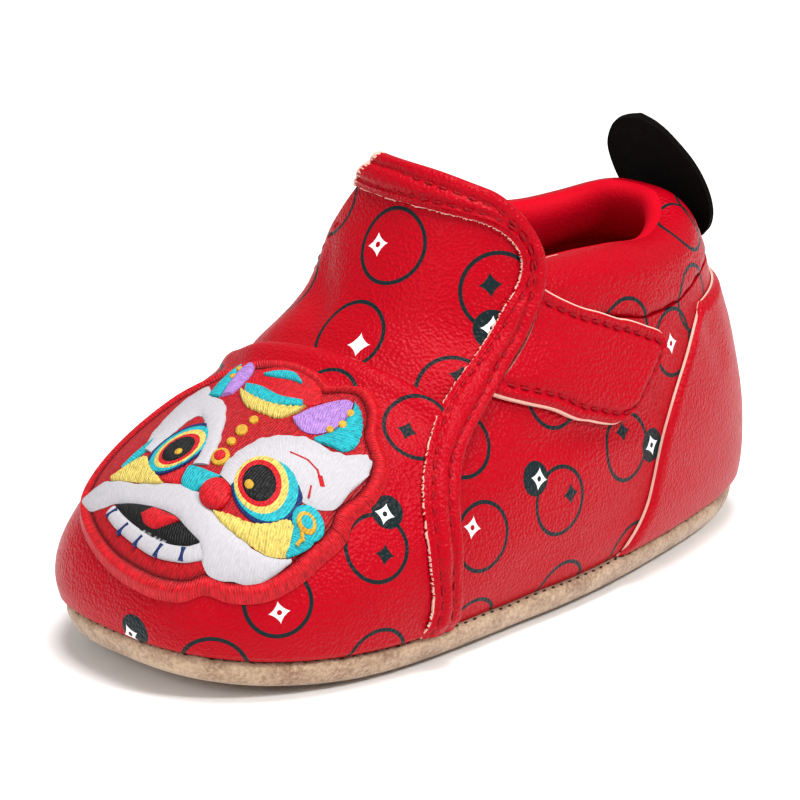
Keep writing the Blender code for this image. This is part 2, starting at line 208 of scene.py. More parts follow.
# Toe patch: where its drawing is centred on the last, its middle there and how far it reaches by angle
PATCH_AT = (0.030, 0.405)
PATCH_MIDDLE = (0.5, 3.0)
PATCH_COLUMNS = ("angle", "reach")
PATCH_ROWS = (
    (0.0, 17.8), (8.0, 17.4), (24.0, 19.3), (38.0, 20.7), (51.0, 20.6), (64.0, 22.8), (73.0, 22.8),
    (81.0, 20.0), (90.0, 20.9), (106.0, 22.5), (122.0, 23.6), (150.0, 23.4), (180.0, 23.0),
    (205.0, 23.4), (228.0, 22.2), (245.0, 21.4), (262.0, 21.0), (276.0, 20.9), (286.0, 20.4),
    (293.0, 19.4), (302.0, 19.8), (314.0, 19.7), (328.0, 18.8), (344.0, 17.8),
)

# Main creases, as lines on the last: where each starts and ends, how deep and how wide it is in millimetres
CREASE_ROWS = (
    (-0.075, 0.80, -0.020, 0.735, 0.70, 3.2),
    (0.085, 0.770, 0.140, 0.700, 0.45, 3.4),
    (0.172, 0.30, 0.150, 0.47, 0.40, 3.0),
    (0.225, 0.47, 0.292, 0.40, 0.45, 2.6),
    (0.235, 0.115, 0.290, 0.150, 0.30, 3.0),
    (0.352, 0.60, 0.385, 0.44, 0.45, 3.4),
    (0.500, 0.60, 0.480, 0.30, 0.35, 4.0),
    (-0.225, 0.55, -0.295, 0.42, 0.50, 3.0),
    (-0.240, 0.20, -0.300, 0.16, 0.30, 3.0),
    (-0.352, 0.60, -0.385, 0.44, 0.40, 3.4),
    (-0.120, 0.62, -0.060, 0.56, 0.40, 3.4),
)

# How a crease fades along its line, the slow unevenness by (turn per u, turn per v, shift), and the size of
# the last laid flat
CREASE_FADE_IN = (-0.25, 0.35)
CREASE_FADE_OUT = (1.25, 0.65)
UNEVEN_DEEP = 0.10
UNEVEN_WAVES = ((41.0, 9.0, 0.0), (-23.0, 17.0, 1.3))
ROUND_MM = 300.0
UP_MM = 60.0

# The print: rings, discs and four-pointed sparkles, dark or white, by panel and place (u, v)
PRINT = {
    "flap": (
        ("ring", 0.014, 0.864), ("white", 0.001, 0.860), ("ring", 0.134, 0.816), ("dark", 0.125, 0.824),
        ("disc", 0.139, 0.754), ("white", 0.139, 0.756), ("ring", 0.012, 0.714), ("white", 0.026, 0.706),
        ("ring", 0.142, 0.624), ("dark", 0.137, 0.660), ("ring", -0.085, 0.900), ("dark", -0.092, 0.895),
        ("ring", -0.115, 0.740), ("white", -0.108, 0.745),
    ),
    "vamp": (
        ("ring", 0.134, 0.550), ("dark", 0.129, 0.544), ("disc", 0.152, 0.366), ("white", 0.151, 0.362),
        ("ring", 0.156, 0.290), ("dark", 0.162, 0.274), ("ring", 0.111, 0.182), ("white", 0.113, 0.158),
        ("disc", 0.016, 0.058), ("white", 0.012, 0.040), ("ring", 0.071, -0.015), ("ring", 0.171, -0.010),
        ("ring", 0.042, 0.600), ("ring", -0.125, 0.500), ("white", -0.130, 0.510), ("disc", -0.150, 0.360),
        ("white", -0.150, 0.360), ("ring", -0.165, 0.230), ("dark", -0.160, 0.235), ("ring", -0.110, 0.120),
        ("white", -0.105, 0.125),
    ),
    "quarter": (
        ("ring", 0.218, 0.254), ("white", 0.210, 0.286), ("disc", 0.236, 0.360), ("white", 0.238, 0.356),
        ("ring", 0.250, 0.276), ("dark", 0.253, 0.284), ("ring", 0.282, 0.348), ("dark", 0.278, 0.400),
        ("disc", 0.301, 0.318), ("white", 0.301, 0.318), ("ring", 0.291, 0.010), ("ring", 0.172, 0.514),
        ("ring", 0.223, 0.588), ("ring", 0.223, -0.030), ("ring", 0.254, -0.020), ("ring", 0.259, 0.702),
        ("white", 0.312, 0.600), ("ring", 0.315, 0.600), ("ring", 0.346, 0.690), ("ring", -0.225, 0.300),
        ("white", -0.222, 0.330), ("disc", -0.262, 0.420), ("white", -0.262, 0.420), ("ring", -0.268, 0.330),
        ("dark", -0.272, 0.320), ("ring", -0.235, 0.600), ("dark", -0.240, 0.610), ("ring", -0.295, 0.130),
        ("white", -0.292, 0.150), ("ring", -0.300, 0.590), ("white", -0.306, 0.600),
    ),
    "collar": (
        ("ring", 0.259, 0.702), ("ring", 0.372, 0.985), ("ring", 0.346, 0.690),
        ("ring", 0.430, 0.860), ("white", 0.425, 0.850), ("ring", 0.560, 0.850), ("dark", 0.556, 0.860),
        ("disc", 0.610, 0.880), ("white", 0.610, 0.880), ("ring", 0.690, 0.830), ("white", 0.694, 0.820),
        ("ring", 0.790, 0.900), ("dark", 0.786, 0.890),
    ),
}
SPARKLE_POWER = 0.72
SPARKLE_HOLE = 0.24
MARK_TURN = 20.0
MARK_SCALE = {"flap": 1.0, "vamp": 0.85, "quarter": 0.89, "collar": 0.89}

# Thread colours of the embroidery, and how strongly the single threads show: the strength of their painted
# highlight and shade and of their bump
THREADS = {
    "white": ("#A9A6AA", 0.22),
    "yellow": ("#C4AE58", 0.90),
    "gold": ("#BE922C", 0.90),
    "turquoise": ("#1A9AA4", 0.90),
    "navy": ("#0D2456", 0.90),
    "lilac": ("#9C74B8", 0.90),
    "red": ("#B60E1A", 1.00),
    "field": ("#9E0814", 1.00),
    # groove: a darker red along the dip inside the patch's border, painted shade
    "groove": ("#6C020A", 1.00),
    "black": ("#0A0A0B", 0.90),
}

# Filled shapes of the lion-dance head, in drawing millimetres: colour, layer, crown, ragged edge, then rows
# of (upper a, upper b, lower a, lower b) from one end of the shape to the other
SHAPES = (
    ("white", 1, 0.35, 0.20, (
        (1.0, 0.2, 3.4, -0.6), (0.3, 2.4, 4.0, 1.0), (0.7, 5.2, 5.0, 3.0), (2.0, 8.4, 6.4, 4.4),
        (4.6, 10.6, 8.2, 4.8), (7.4, 11.9, 10.0, 4.0), (10.2, 12.0, 11.8, 3.2), (12.4, 13.2, 13.6, 3.4),
        (13.6, 14.7, 15.3, 5.4), (14.9, 14.4, 15.4, 8.6), (15.6, 12.4, 15.6, 11.6))),
    ("white", 1, 0.35, 0.15, (
        (-13.6, 0.8, -12.2, 0.6), (-15.2, 4.0, -11.8, 2.5), (-16.0, 8.5, -11.4, 5.0),
        (-16.2, 13.0, -11.0, 7.5), (-14.8, 15.8, -10.2, 8.8), (-11.6, 13.4, -9.0, 8.6),
        (-8.6, 12.5, -8.0, 7.8), (-5.8, 9.8, -6.6, 6.4), (-3.7, 6.4, -5.0, 4.2),
        (-2.3, 3.4, -4.2, 2.0), (-1.9, 1.0, -4.0, 0.2))),
    ("white", 1, 0.40, 0.15, (
        (-18.6, -8.0, -17.8, -9.5), (-16.9, -5.7, -14.6, -10.1), (-13.5, -5.2, -11.6, -8.8),
        (-9.5, -5.1, -8.6, -8.2), (-5.5, -4.0, -4.6, -7.9), (-2.0, -3.2, -0.8, -7.9), (1.6, -3.9, 2.2, -8.9),
        (4.0, -5.2, 4.5, -9.9), (6.5, -6.2, 7.4, -12.6), (9.2, -6.5, 10.4, -11.6), (12.0, -6.4, 13.2, -9.4),
        (14.7, -4.5, 14.9, -4.8))),
    ("black", 2, 0.20, 0.0, (
        (-11.0, -8.8, -11.0, -8.9), (-8.7, -8.2, -8.2, -10.2), (-4.9, -7.8, -4.2, -11.3),
        (-0.8, -7.9, 0.2, -11.8), (2.1, -8.9, 3.2, -11.1), (4.5, -9.6, 4.6, -9.8))),
    ("white", 2, 0.30, 0.0, (
        (-11.0, -9.0, -11.6, -10.6), (-8.2, -10.2, -8.9, -11.9), (-4.2, -11.3, -4.6, -13.2),
        (0.2, -11.8, -0.3, -13.9), (3.2, -11.1, 3.8, -13.1), (4.7, -9.8, 6.3, -11.4))),
    ("red", 4, 0.35, 0.0, (
        (-5.4, -9.2, -5.3, -9.5), (-4.5, -8.0, -4.2, -10.4), (-2.2, -8.0, -2.2, -10.7),
        (-0.4, -8.1, -0.9, -9.8), (0.5, -8.4, 0.4, -8.6))),
    ("turquoise", 3, 0.35, 0.0, (
        (-4.0, 0.0, -3.2, -3.2), (-2.4, 0.1, -2.0, -3.7), (-0.6, 0.1, -0.6, -3.7), (1.3, 0.1, 0.4, -2.6))),
    ("red", 2, 0.30, 0.0, ((-6.3, -3.2, -6.2, -3.8), (-5.4, -1.6, -4.8, -3.7), (-4.3, 0.2, -3.4, -3.4))),
    ("yellow", 2, 0.35, 0.12, (
        (3.7, -5.0, 3.9, -5.4), (5.8, -4.4, 6.0, -6.1), (8.6, -3.8, 9.4, -6.4), (10.4, -2.2, 12.0, -6.2),
        (11.6, -0.4, 13.4, -5.4), (12.8, -0.4, 14.2, -4.6))),
    ("yellow", 2, 0.35, 0.12, (
        (-15.2, -4.4, -15.0, -5.2), (-14.2, -2.2, -13.0, -5.1), (-12.4, -0.4, -11.0, -5.0),
        (-9.6, -2.2, -9.0, -4.8), (-6.0, -4.0, -6.2, -4.3))),
    ("turquoise", 2, 0.30, 0.0, (
        (-15.0, -2.8, -14.4, -3.0), (-14.8, -0.2, -13.6, -0.6), (-14.2, 2.0, -13.0, 1.2),
        (-13.6, 3.0, -13.3, 2.8))),
    ("turquoise", 3, 0.35, 0.0, (
        (15.6, 0.4, 12.8, -0.8), (15.6, -1.4, 13.2, -2.2), (15.0, -3.2, 13.6, -3.6),
        (14.3, -4.6, 14.0, -4.6))),
    ("red", 1, 0.15, 0.0, (
        (-9.0, 18.0, -8.8, 17.4), (-8.6, 21.2, -6.0, 16.6), (-5.6, 22.8, -3.5, 16.4),
        (-1.5, 22.6, -1.0, 16.4), (2.0, 21.4, 2.4, 16.8), (4.4, 18.6, 4.2, 17.8))),
    ("turquoise", 4, 0.30, 0.0, (
        (-7.2, 20.2, -7.0, 19.9), (-5.6, 21.7, -5.2, 20.1), (-3.0, 22.2, -2.6, 20.5),
        (-0.6, 20.9, -0.4, 20.4))),
    ("turquoise", 4, 0.30, 0.0, (
        (-8.2, 17.4, -7.0, 15.4), (-5.6, 17.5, -4.6, 14.8), (-1.6, 16.8, -1.4, 14.6),
        (2.0, 17.5, 2.8, 16.4))),
    ("yellow", 3, 0.35, 0.30, (
        (-8.0, 15.8, -7.2, 14.6), (-5.6, 15.3, -4.4, 12.9), (-2.4, 14.8, -1.2, 12.6), (0.6, 15.2, 1.4, 12.9),
        (3.0, 16.4, 3.0, 15.4))),
    ("lilac", 2, 0.40, 0.0, (
        (3.0, 13.9, 3.7, 13.2), (3.6, 16.3, 5.6, 12.5), (5.2, 19.2, 7.4, 13.1), (6.8, 21.0, 8.7, 15.4),
        (8.0, 21.0, 8.9, 18.6))),
    ("turquoise", 2, 0.40, 0.10, (
        (7.8, 21.4, 8.4, 20.6), (9.6, 20.2, 8.9, 18.2), (11.3, 17.9, 8.9, 15.6), (12.2, 15.0, 8.2, 13.6),
        (11.6, 13.2, 7.6, 12.5), (10.4, 12.7, 8.0, 12.0))),
    ("lilac", 2, 0.40, 0.0, (
        (-10.0, 13.6, -8.8, 14.6), (-11.4, 16.8, -9.0, 17.4), (-12.4, 20.2, -9.6, 20.0),
        (-12.0, 21.8, -10.7, 22.0))),
    ("turquoise", 3, 0.30, 0.0, (
        (-12.2, 13.2, -10.2, 13.4), (-13.2, 16.6, -11.3, 16.6), (-13.4, 19.8, -12.4, 20.0),
        (-12.9, 21.2, -12.5, 21.4))),
)

# Ovals: colour, layer, crown, middle a, middle b, half length, half width, turn of the long axis in degrees
ROUNDS = (
    ("navy", 2, 0.20, 7.1, 2.2, 6.1, 4.65, 125), ("turquoise", 3, 0.20, 7.0, 2.1, 5.4, 4.15, 125),
    ("yellow", 4, 0.20, 6.5, 1.9, 4.6, 3.55, 125), ("red", 5, 0.20, 6.3, 1.8, 3.75, 2.85, 125),
    ("black", 6, 0.25, 6.3, 1.7, 2.95, 2.2, 125), ("gold", 8, 0.25, 5.5, 0.6, 0.75, 0.6, 125),
    ("navy", 2, 0.20, -8.0, 2.3, 5.6, 3.7, 74), ("turquoise", 3, 0.20, -7.9, 2.2, 4.9, 3.3, 74),
    ("yellow", 4, 0.20, -7.7, 2.1, 4.1, 2.9, 74), ("red", 5, 0.20, -7.6, 1.9, 3.3, 2.45, 74),
    ("black", 6, 0.25, -7.6, 1.8, 2.6, 2.0, 74), ("gold", 8, 0.25, -7.0, 1.2, 0.6, 0.55, 74),
    ("red", 6, 1.00, 2.4, -2.8, 2.5, 2.1, 124), ("turquoise", 4, 0.30, 13.9, 1.1, 2.3, 1.95, 124),
    ("gold", 7, 0.20, 13.8, 0.8, 1.45, 1.2, 124), ("turquoise", 9, 0.15, 13.8, 0.9, 0.85, 0.7, 124),
    ("gold", 2, 0.30, -1.1, 3.0, 1.6, 1.35, 124), ("red", 5, 0.20, -1.1, 3.0, 0.95, 0.8, 124),
    ("gold", 2, 0.35, -1.5, 6.0, 0.75, 0.65, 124), ("gold", 2, 0.35, -1.6, 8.4, 1.0, 0.85, 124),
    ("gold", 2, 0.35, -1.4, 10.8, 0.75, 0.65, 124), ("gold", 4, 0.30, 8.8, 19.0, 0.75, 0.6, 124),
    ("gold", 4, 0.30, 9.2, 16.6, 0.75, 0.6, 124), ("gold", 4, 0.30, 8.4, 14.8, 0.6, 0.5, 124),
    ("gold", 4, 0.30, -11.9, 18.4, 0.55, 0.5, 74), ("gold", 4, 0.30, -12.4, 20.4, 0.55, 0.5, 74),
)

# Lines of thread: colour, layer, start a, start b, end a, end b, half width
LINES = (
    ("navy", 3, -11.2, -10.7, -10.1, -9.5, 0.36), ("navy", 3, -7.7, -12.6, -6.7, -11.0, 0.40),
    ("navy", 3, -3.9, -13.5, -3.3, -12.0, 0.40), ("navy", 3, 0.0, -13.9, 0.2, -12.1, 0.40),
    ("navy", 3, 3.7, -13.0, 3.2, -11.3, 0.40), ("red", 3, 6.6, 8.3, 9.1, 8.7, 0.18),
    ("red", 3, 9.0, 8.7, 10.8, 8.2, 0.18), ("red", 3, 10.7, 8.3, 11.9, 7.2, 0.20),
    ("red", 3, 11.5, 7.7, 12.6, 6.6, 0.42), ("red", 3, 11.5, 5.7, 12.2, 4.0, 0.14),
    ("gold", 8, 13.9, -0.5, 14.6, -1.6, 0.25), ("gold", 8, 14.4, -1.3, 14.3, -2.6, 0.22),
)


def named_columns(columns, rows):
    """A table's columns as arrays, by name."""
    return dict(zip(columns, np.array(rows, dtype=float).T))


LAST = named_columns(LAST_COLUMNS, LAST_ROWS)
BAND = named_columns(BAND_COLUMNS, BAND_ROWS)
INNER_EDGE = named_columns(INNER_EDGE_COLUMNS, INNER_EDGE_ROWS)
COUNTER = named_columns(COUNTER_COLUMNS, COUNTER_ROWS)
STRAP = named_columns(STRAP_COLUMNS, STRAP_ROWS)
TAB = named_columns(TAB_COLUMNS, TAB_ROWS)
SOLE = named_columns(SOLE_COLUMNS, SOLE_ROWS)
PATCH = named_columns(PATCH_COLUMNS, PATCH_ROWS)


def smooth(at, span):
    """An S-shaped step from 0 at the start of a span to 1 at its end: 3t squared minus 2t cubed."""
    t = np.clip((at - span[0]) / (span[1] - span[0]), 0.0, 1.0)
    return t * t * (3.0 - 2.0 * t)


def bell(distance, width):
    """A bell-shaped bump 1 high: e to the power of minus the square of distance / width."""
    return np.exp(-(distance / width) ** 2)


def ripple(t, high, first, second, shift):
    """An uneven ripple: the product of two sine waves of different lengths."""
    return high * np.sin(first * t) * np.sin(second * t + shift)


def squared(wave, power):
    """A sine or cosine to a power, with its sign kept: below 1 it makes a round section squarer."""
    return np.sign(wave) * np.abs(wave) ** power


def between(first, second, share):
    """What lies a share of the way from a first to a second value."""
    return first + share * (second - first)


def unit(vectors):
    """Vectors brought to length 1."""
    return vectors / np.linalg.norm(vectors, axis=-1, keepdims=True)


def circle(count):
    """Angles of points once round a circle."""
    return np.arange(count) * 2.0 * np.pi / count


def one_shape(first, second):
    """Two numbers or arrays as arrays of one shape."""
    return np.broadcast_arrays(np.asarray(first, dtype=float), np.asarray(second, dtype=float))


def through(knots, values, at):
    """A smooth curve through a column's values: cubic pieces with centred slopes."""
    slopes = np.gradient(values, knots)
    k = np.clip(np.searchsorted(knots, at, side="right") - 1, 0, len(knots) - 2)
    step = knots[k + 1] - knots[k]
    t = (at - knots[k]) / step
    start = (1.0 + 2.0 * t) * (1.0 - t) ** 2 * values[k] + t * (1.0 - t) ** 2 * step * slopes[k]
    end = t * t * (3.0 - 2.0 * t) * values[k + 1] + t * t * (t - 1.0) * step * slopes[k + 1]
    return start + end


def along(table, name, t):
    """A column read along its table, t from 0 at the first row to 1 at the last."""
    return through(np.linspace(0.0, 1.0, len(table[name])), table[name], t)


def last(u, v, inset=0.0):
    """The last: superellipse ovals, squarer at the toe, that rise and shorten from seam to topline."""
    u, v = one_shape(u, v)
    row = {name: through(LAST["v"], LAST[name], v) for name in LAST_COLUMNS[1:]}
    c = np.cos(2.0 * np.pi * u)
    s = np.sin(2.0 * np.pi * u)
    fore = smooth(c, FORE)
    power = 2.0 / between(row["heel_square"], row["toe_square"], fore)
    half = between(row["heel_half"], row["ball_half"], fore) - inset
    reach = (row["heel"] - row["toe"]) / 2.0 - inset
    flare = TOE_FLARE * np.clip(c, 0.0, 1.0) ** 2 * (1.0 - FLARE_FADE * smooth(v, FLARE_END))
    x = half * squared(s, power) + flare
    y = (row["toe"] + row["heel"]) / 2.0 - reach * squared(c, power)
    spring = np.clip((c - TOE_SPRING_FROM) / (1.0 - TOE_SPRING_FROM), 0.0, 1.0) ** 2
    front = between(spring, smooth(c, SHIN), smooth(v, SHIN_RISE))
    z = between(row["side_z"], row["toe_z"], front)
    z = z + (row["heel_z"] - row["side_z"]) * np.clip(-c, 0.0, 1.0) ** 2
    return np.stack([x, y, z], axis=-1)


def outward(u, v):
    """Unit normals of the last: the cross product of its two slopes, out of the shoe."""
    step = 0.0005
    round_it = last(u + step, v) - last(u - step, v)
    up_it = last(u, v + step) - last(u, v - step)
    return unit(np.cross(round_it, up_it))


def upward(u, v):
    """Unit vectors up the last: its slope from the seam towards the topline."""
    step = 0.01
    return unit(last(u, v + step) - last(u, v - step))


def round_gap(u, to):
    """How far round from a place, in parts of the way, the short way."""
    return (np.asarray(u) - to + 0.5) % 1.0 - 0.5


def relief(u, v):
    """Creases and slight unevenness in millimetres: a bell-shaped trough along each crease line, fading at
    its ends, on top of the product of two slow waves."""
    u, v = one_shape(u, v)
    first, second = (np.sin(by_u * u + by_v * v + shift) for by_u, by_v, shift in UNEVEN_WAVES)
    total = UNEVEN_DEEP * first * second
    for u0, v0, u1, v1, depth, width in CREASE_ROWS:
        run = np.array([(u1 - u0) * ROUND_MM, (v1 - v0) * UP_MM])
        x = round_gap(u, u0) * ROUND_MM
        y = (v - v0) * UP_MM
        t = (x * run[0] + y * run[1]) / (run @ run)
        off = (x * run[1] - y * run[0]) / np.sqrt(run @ run)
        fade = smooth(t, CREASE_FADE_IN) * smooth(t, CREASE_FADE_OUT)
        total = total - depth * fade * bell(off, width)
    return total


def skin(u, v, lift):
    """Points a given height above the last, creases included: last + (lift + relief) times the normal."""
    u, v = one_shape(u, v)
    return last(u, v) + (lift + relief(u, v))[..., None] * outward(u, v)


def height_to_v(u, z):
    """How far up the last a height lies, by halving the range from the seam to a little above the topline."""
    halvings = 30
    topmost = 1.1
    u, z = one_shape(u, z)
    low = np.zeros(u.shape)
    high = np.full(u.shape, topmost)
    for _ in range(halvings):
        middle = (low + high) / 2.0
        below = last(u, middle)[..., 2] < z
        low = np.where(below, middle, low)
        high = np.where(below, high, middle)
    return (low + high) / 2.0


def from_toe(u):
    """How far round from the toe a place is, the same on both sides."""
    return np.abs(round_gap(u, 0.0))


def crease_height(u):
    """Height of the crease under the collar, higher towards the flap and the heel."""
    front = (CREASE_FRONT - CREASE_SIDE) * smooth(from_toe(u), CREASE_RISE)
    return CREASE_SIDE + front + (CREASE_HEEL - CREASE_SIDE) * smooth(from_toe(u), CREASE_BACK)


def instep_seam(u):
    """v of the seam between vamp and flap: an arch over the instep."""
    return SEAM_TOP - SEAM_ARCH * (u - SEAM_MIDDLE) ** 2


def flap_top(u):
    """v of the flap's top edge: it bows down to the outer corner and slants down past the band's cut end."""
    return FLAP_TOP - FLAP_FALL * np.clip(u, 0.0, 1.0) ** 2 - FLAP_SLANT * np.clip(FLAP_CUT - u, 0.0, 1.0)


def outer_edge(v):
    """u of the band's outer edge at a height on the outer side, corner to sole."""
    return through(BAND["outer_v"][BAND_CORNER:][::-1], BAND["outer_u"][BAND_CORNER:][::-1], v)


def inner_edge(v):
    """u of the inner side edge of vamp and flap."""
    return through(INNER_EDGE["v"], INNER_EDGE["u"], v)


def between_edges(across, v):
    """u across the front panels, from their inner side edge to just inside the band's outer edge."""
    return between(inner_edge(v), outer_edge(v) - EDGE_STEP, across)


def drawing_to_last(want):
    """Places (u, v) on the last under points of the flat patch drawing, by Newton's steps."""
    tries = 12
    step = 0.001
    middle = last(*PATCH_AT)
    up = upward(*PATCH_AT)
    side = np.cross(up, outward(*PATCH_AT))

    def flat(place):
        offset = last(place[..., 0], place[..., 1]) - middle
        return np.stack([offset @ side, offset @ up], axis=-1)

    place = np.zeros(want.shape) + np.array(PATCH_AT)
    for _ in range(tries):
        here = flat(place)
        by_u = (flat(place + np.array([step, 0.0])) - here) / step
        by_v = (flat(place + np.array([0.0, step])) - here) / step
        slope = np.stack([by_u, by_v], axis=-1)
        place = place + np.linalg.solve(slope, (want - here)[..., None])[..., 0]
    return place


def on_patch(flat_points, lift):
    """Points of the drawing raised above the vamp."""
    place = drawing_to_last(flat_points)
    return skin(place[..., 0], place[..., 1], lift)


def run_length(points):
    """Distance along rows of points, from the start of each."""
    steps = np.linalg.norm(np.diff(points, axis=0), axis=-1)
    return np.concatenate([np.zeros((1,) + steps.shape[1:]), np.cumsum(steps, axis=0)])


def grid_quads(rows, columns, round_rows=False, round_columns=False):
    """Corner numbers of the quads over a grid, closed in either direction if asked."""
    index = np.arange(rows * columns).reshape(rows, columns)
    if round_columns:
        index = np.hstack([index, index[:, :1]])
    if round_rows:
        index = np.vstack([index, index[:1]])
    quads = np.stack([index[:-1, :-1], index[:-1, 1:], index[1:, 1:], index[1:, :-1]], axis=-1)
    return quads.reshape(-1, 4)


def end_caps(rows, columns):
    """Corner numbers of the faces that close a grid of rings at its first and its last ring."""
    return [range(columns)[::-1], range(rows * columns - columns, rows * columns)]


def wrap_sheet(outer, inner):
    """A closed sheet from its outer and inner grids, with a strip round the edge.

    Gives points, quads and the kind of each quad: 0 outer face, 1 cut edge, 2 inner face."""
    rows, columns = outer.shape[:2]
    count = rows * columns
    index = np.arange(count).reshape(rows, columns)
    face = grid_quads(rows, columns)
    loop = np.concatenate([index[0, :-1], index[:-1, -1], index[-1, :0:-1], index[:0:-1, 0]])
    ahead = np.roll(loop, -1)
    edge = np.stack([loop + count, ahead + count, ahead, loop], axis=-1)
    points = np.concatenate([outer.reshape(-1, 3), inner.reshape(-1, 3)])
    kinds = np.repeat([0, 1, 2], [len(face), len(edge), len(face)])
    return points, np.concatenate([face, edge, face[:, ::-1] + count]), kinds


def overlay(u, v, lift, back=PANEL_BACK):
    """A closed panel on the last, between its face at one height and its back at another."""
    return wrap_sheet(skin(u, v, lift), skin(u, v, back + 0.0 * lift))


def add_piece(name, points, faces, materials, nodes=(), kinds=None, caps=(), uv=None, tint=None,
              angle=45.0):
    """A named piece of the shoe from points in millimetres, riding on the shoe's one body."""
    mesh = bpy.data.meshes.new(name)
    mesh.from_pydata((points * MM).tolist(), [], np.asarray(faces).tolist() + [list(cap) for cap in caps])
    for material in materials:
        mesh.materials.append(material)
    if kinds is not None:
        kinds = np.concatenate([kinds, np.zeros(len(caps), dtype=int)]).astype(np.int32)
        mesh.polygons.foreach_set("material_index", kinds)
    if uv is not None:
        layer = mesh.uv_layers.new(name="thread")
        corner = np.zeros(len(mesh.loops), dtype=np.int32)
        mesh.loops.foreach_get("vertex_index", corner)
        layer.data.foreach_set("uv", (uv[corner] * MM).astype(np.float32).ravel())
    if tint is not None:
        colours = mesh.attributes.new("thread_tint", "FLOAT_COLOR", "POINT")
        colours.data.foreach_set("color", tint.astype(np.float32).ravel())
    solid = bmesh.new()
    solid.from_mesh(mesh)
    bmesh.ops.remove_doubles(solid, verts=solid.verts, dist=SAME_POINT)
    bmesh.ops.recalc_face_normals(solid, faces=solid.faces)
    solid.to_mesh(mesh)
    solid.free()
    mesh.shade_smooth()
    mesh.set_sharp_from_angle(angle=np.radians(angle))
    piece = bpy.data.objects.new(name, mesh)
    bpy.context.scene.collection.objects.link(piece)
    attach(piece, "root")
    if nodes:
        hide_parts(*nodes)
    return piece


def colour(text):
    """A hex sRGB colour as linear RGB with full alpha, by the sRGB standard's curve."""
    part = np.array([int(text[k:k + 2], 16) for k in (1, 3, 5)]) / 255.0
    linear = np.where(part <= 0.04045, part / 12.92, ((part + 0.055) / 1.055) ** 2.4)
    return (*linear.tolist(), 1.0)


def darker(tone, share):
    """A colour with its light cut to a share."""
    return (*(share * k for k in tone[:3]), 1.0)


def plain_tone(values):
    """A colour property as RGBA."""
    return (*values, 1.0)


def node(tree, kind, settings=None, inputs=None):
    """Adds a node with its settings, and sets or links its inputs."""
    made = tree.nodes.new(kind)
    for key, value in (settings or {}).items():
        setattr(made, key, value)
    for key, value in (inputs or {}).items():
        if isinstance(value, bpy.types.NodeSocket):
            tree.links.new(value, made.inputs[key])
        else:
            made.inputs[key].default_value = value
    return made


def sum_up(tree, operation, *values):
    """A sum of the given kind on numbers or sockets."""
    return node(tree, "ShaderNodeMath", {"operation": operation}, dict(enumerate(values))).outputs[0]


def new_material(name, finish):
    """A material with its shader's plain values set, and its node tree, shader and place on the object."""
    material = bpy.data.materials.new(name)
    material.use_nodes = True
    tree = material.node_tree
    shader = tree.nodes["Principled BSDF"]
    for key, value in finish.items():
        shader.inputs[key].default_value = value
    place = node(tree, "ShaderNodeTexCoord").outputs["Object"]
    return material, tree, shader, place


def link_looks(tree, shader, sockets):
    """Links sockets to the shader's inputs by name."""
    for key, socket in sockets.items():
        tree.links.new(socket, shader.inputs[key])


def per_mm(size):
    """Texture scale that makes a pattern's repeat a given number of millimetres."""
    return 1.0 / (size * MM)


def waves_per_mm(size):
    """Scale of a wave texture whose ridges lie a given number of millimetres apart: at scale 1 they lie
    2 pi / 20 apart."""
    return per_mm(size) / 20.0 * 2.0 * np.pi


def mottle(tree, place, size, detail=2.0, rough=0.5):
    """Noise of a given size in millimetres."""
    return node(tree, "ShaderNodeTexNoise", None, {
        "Vector": place, "Scale": per_mm(size), "Detail": detail, "Roughness": rough}).outputs["Fac"]


def mix_tones(tree, share, first, second):
    """A mix of two colours by a share."""
    return node(tree, "ShaderNodeMix", {"data_type": "RGBA"}, {0: share, 6: first, 7: second}).outputs[2]


def mark_frame(u, v, lift):
    """Middle of a print mark on the leather and the turn of its own frame there."""
    normal = Vector(outward(u, v))
    side = Vector(upward(u, v)).cross(normal).normalized()
    slant = Matrix.Rotation(np.radians(MARK_TURN), 3, "Z")
    turn = Matrix((side, normal.cross(side), normal)).transposed() @ slant
    return Vector(skin(u, v, lift) * MM), turn.to_euler()


def print_masks(tree, place, panel, lift):
    """Masks of the dark and the white print. Each mark is measured in its own frame on the leather: a ring is
    where the distance from its middle is its radius, a disc where it is less, and a sparkle where the two
    distances across and up, to a power below one, add up to less than its reach to that power."""
    sizes = bpy.context.scene.shoe_sizes
    scale = MARK_SCALE[panel]
    reach = sizes.sparkle_reach * scale
    dark = 0.0
    white = 0.0
    for kind, u, v in PRINT[panel]:
        middle, turn = mark_frame(u, v, lift)
        local = node(tree, "ShaderNodeMapping", {"vector_type": "TEXTURE"}, {
            "Vector": place, "Location": middle, "Rotation": turn}).outputs[0]
        away = node(tree, "ShaderNodeVectorMath", {"operation": "LENGTH"}, {0: local}).outputs["Value"]
        if kind == "ring":
            found = sum_up(tree, "COMPARE", away, sizes.ring_across * scale / 2.0, sizes.ring_line / 2.0)
        elif kind == "disc":
            found = sum_up(tree, "LESS_THAN", away, sizes.disc_across * scale / 2.0)
        else:
            both = node(tree, "ShaderNodeVectorMath", {"operation": "ABSOLUTE"}, {0: local}).outputs[0]
            parts = node(tree, "ShaderNodeSeparateXYZ", None, {0: both})
            roots = [sum_up(tree, "POWER", parts.outputs[k], SPARKLE_POWER) for k in (0, 1)]
            star = sum_up(tree, "LESS_THAN", sum_up(tree, "ADD", *roots), reach ** SPARKLE_POWER)
            near = sum_up(tree, "LESS_THAN", away, 2.0 * reach)
            found = sum_up(tree, "MULTIPLY", star, near)
        if kind == "white":
            beyond = sum_up(tree, "GREATER_THAN", away, reach * SPARKLE_HOLE)
            white = sum_up(tree, "MAXIMUM", white, sum_up(tree, "MULTIPLY", found, beyond))
        else:
            dark = sum_up(tree, "MAXIMUM", dark, found)
    return dark, white


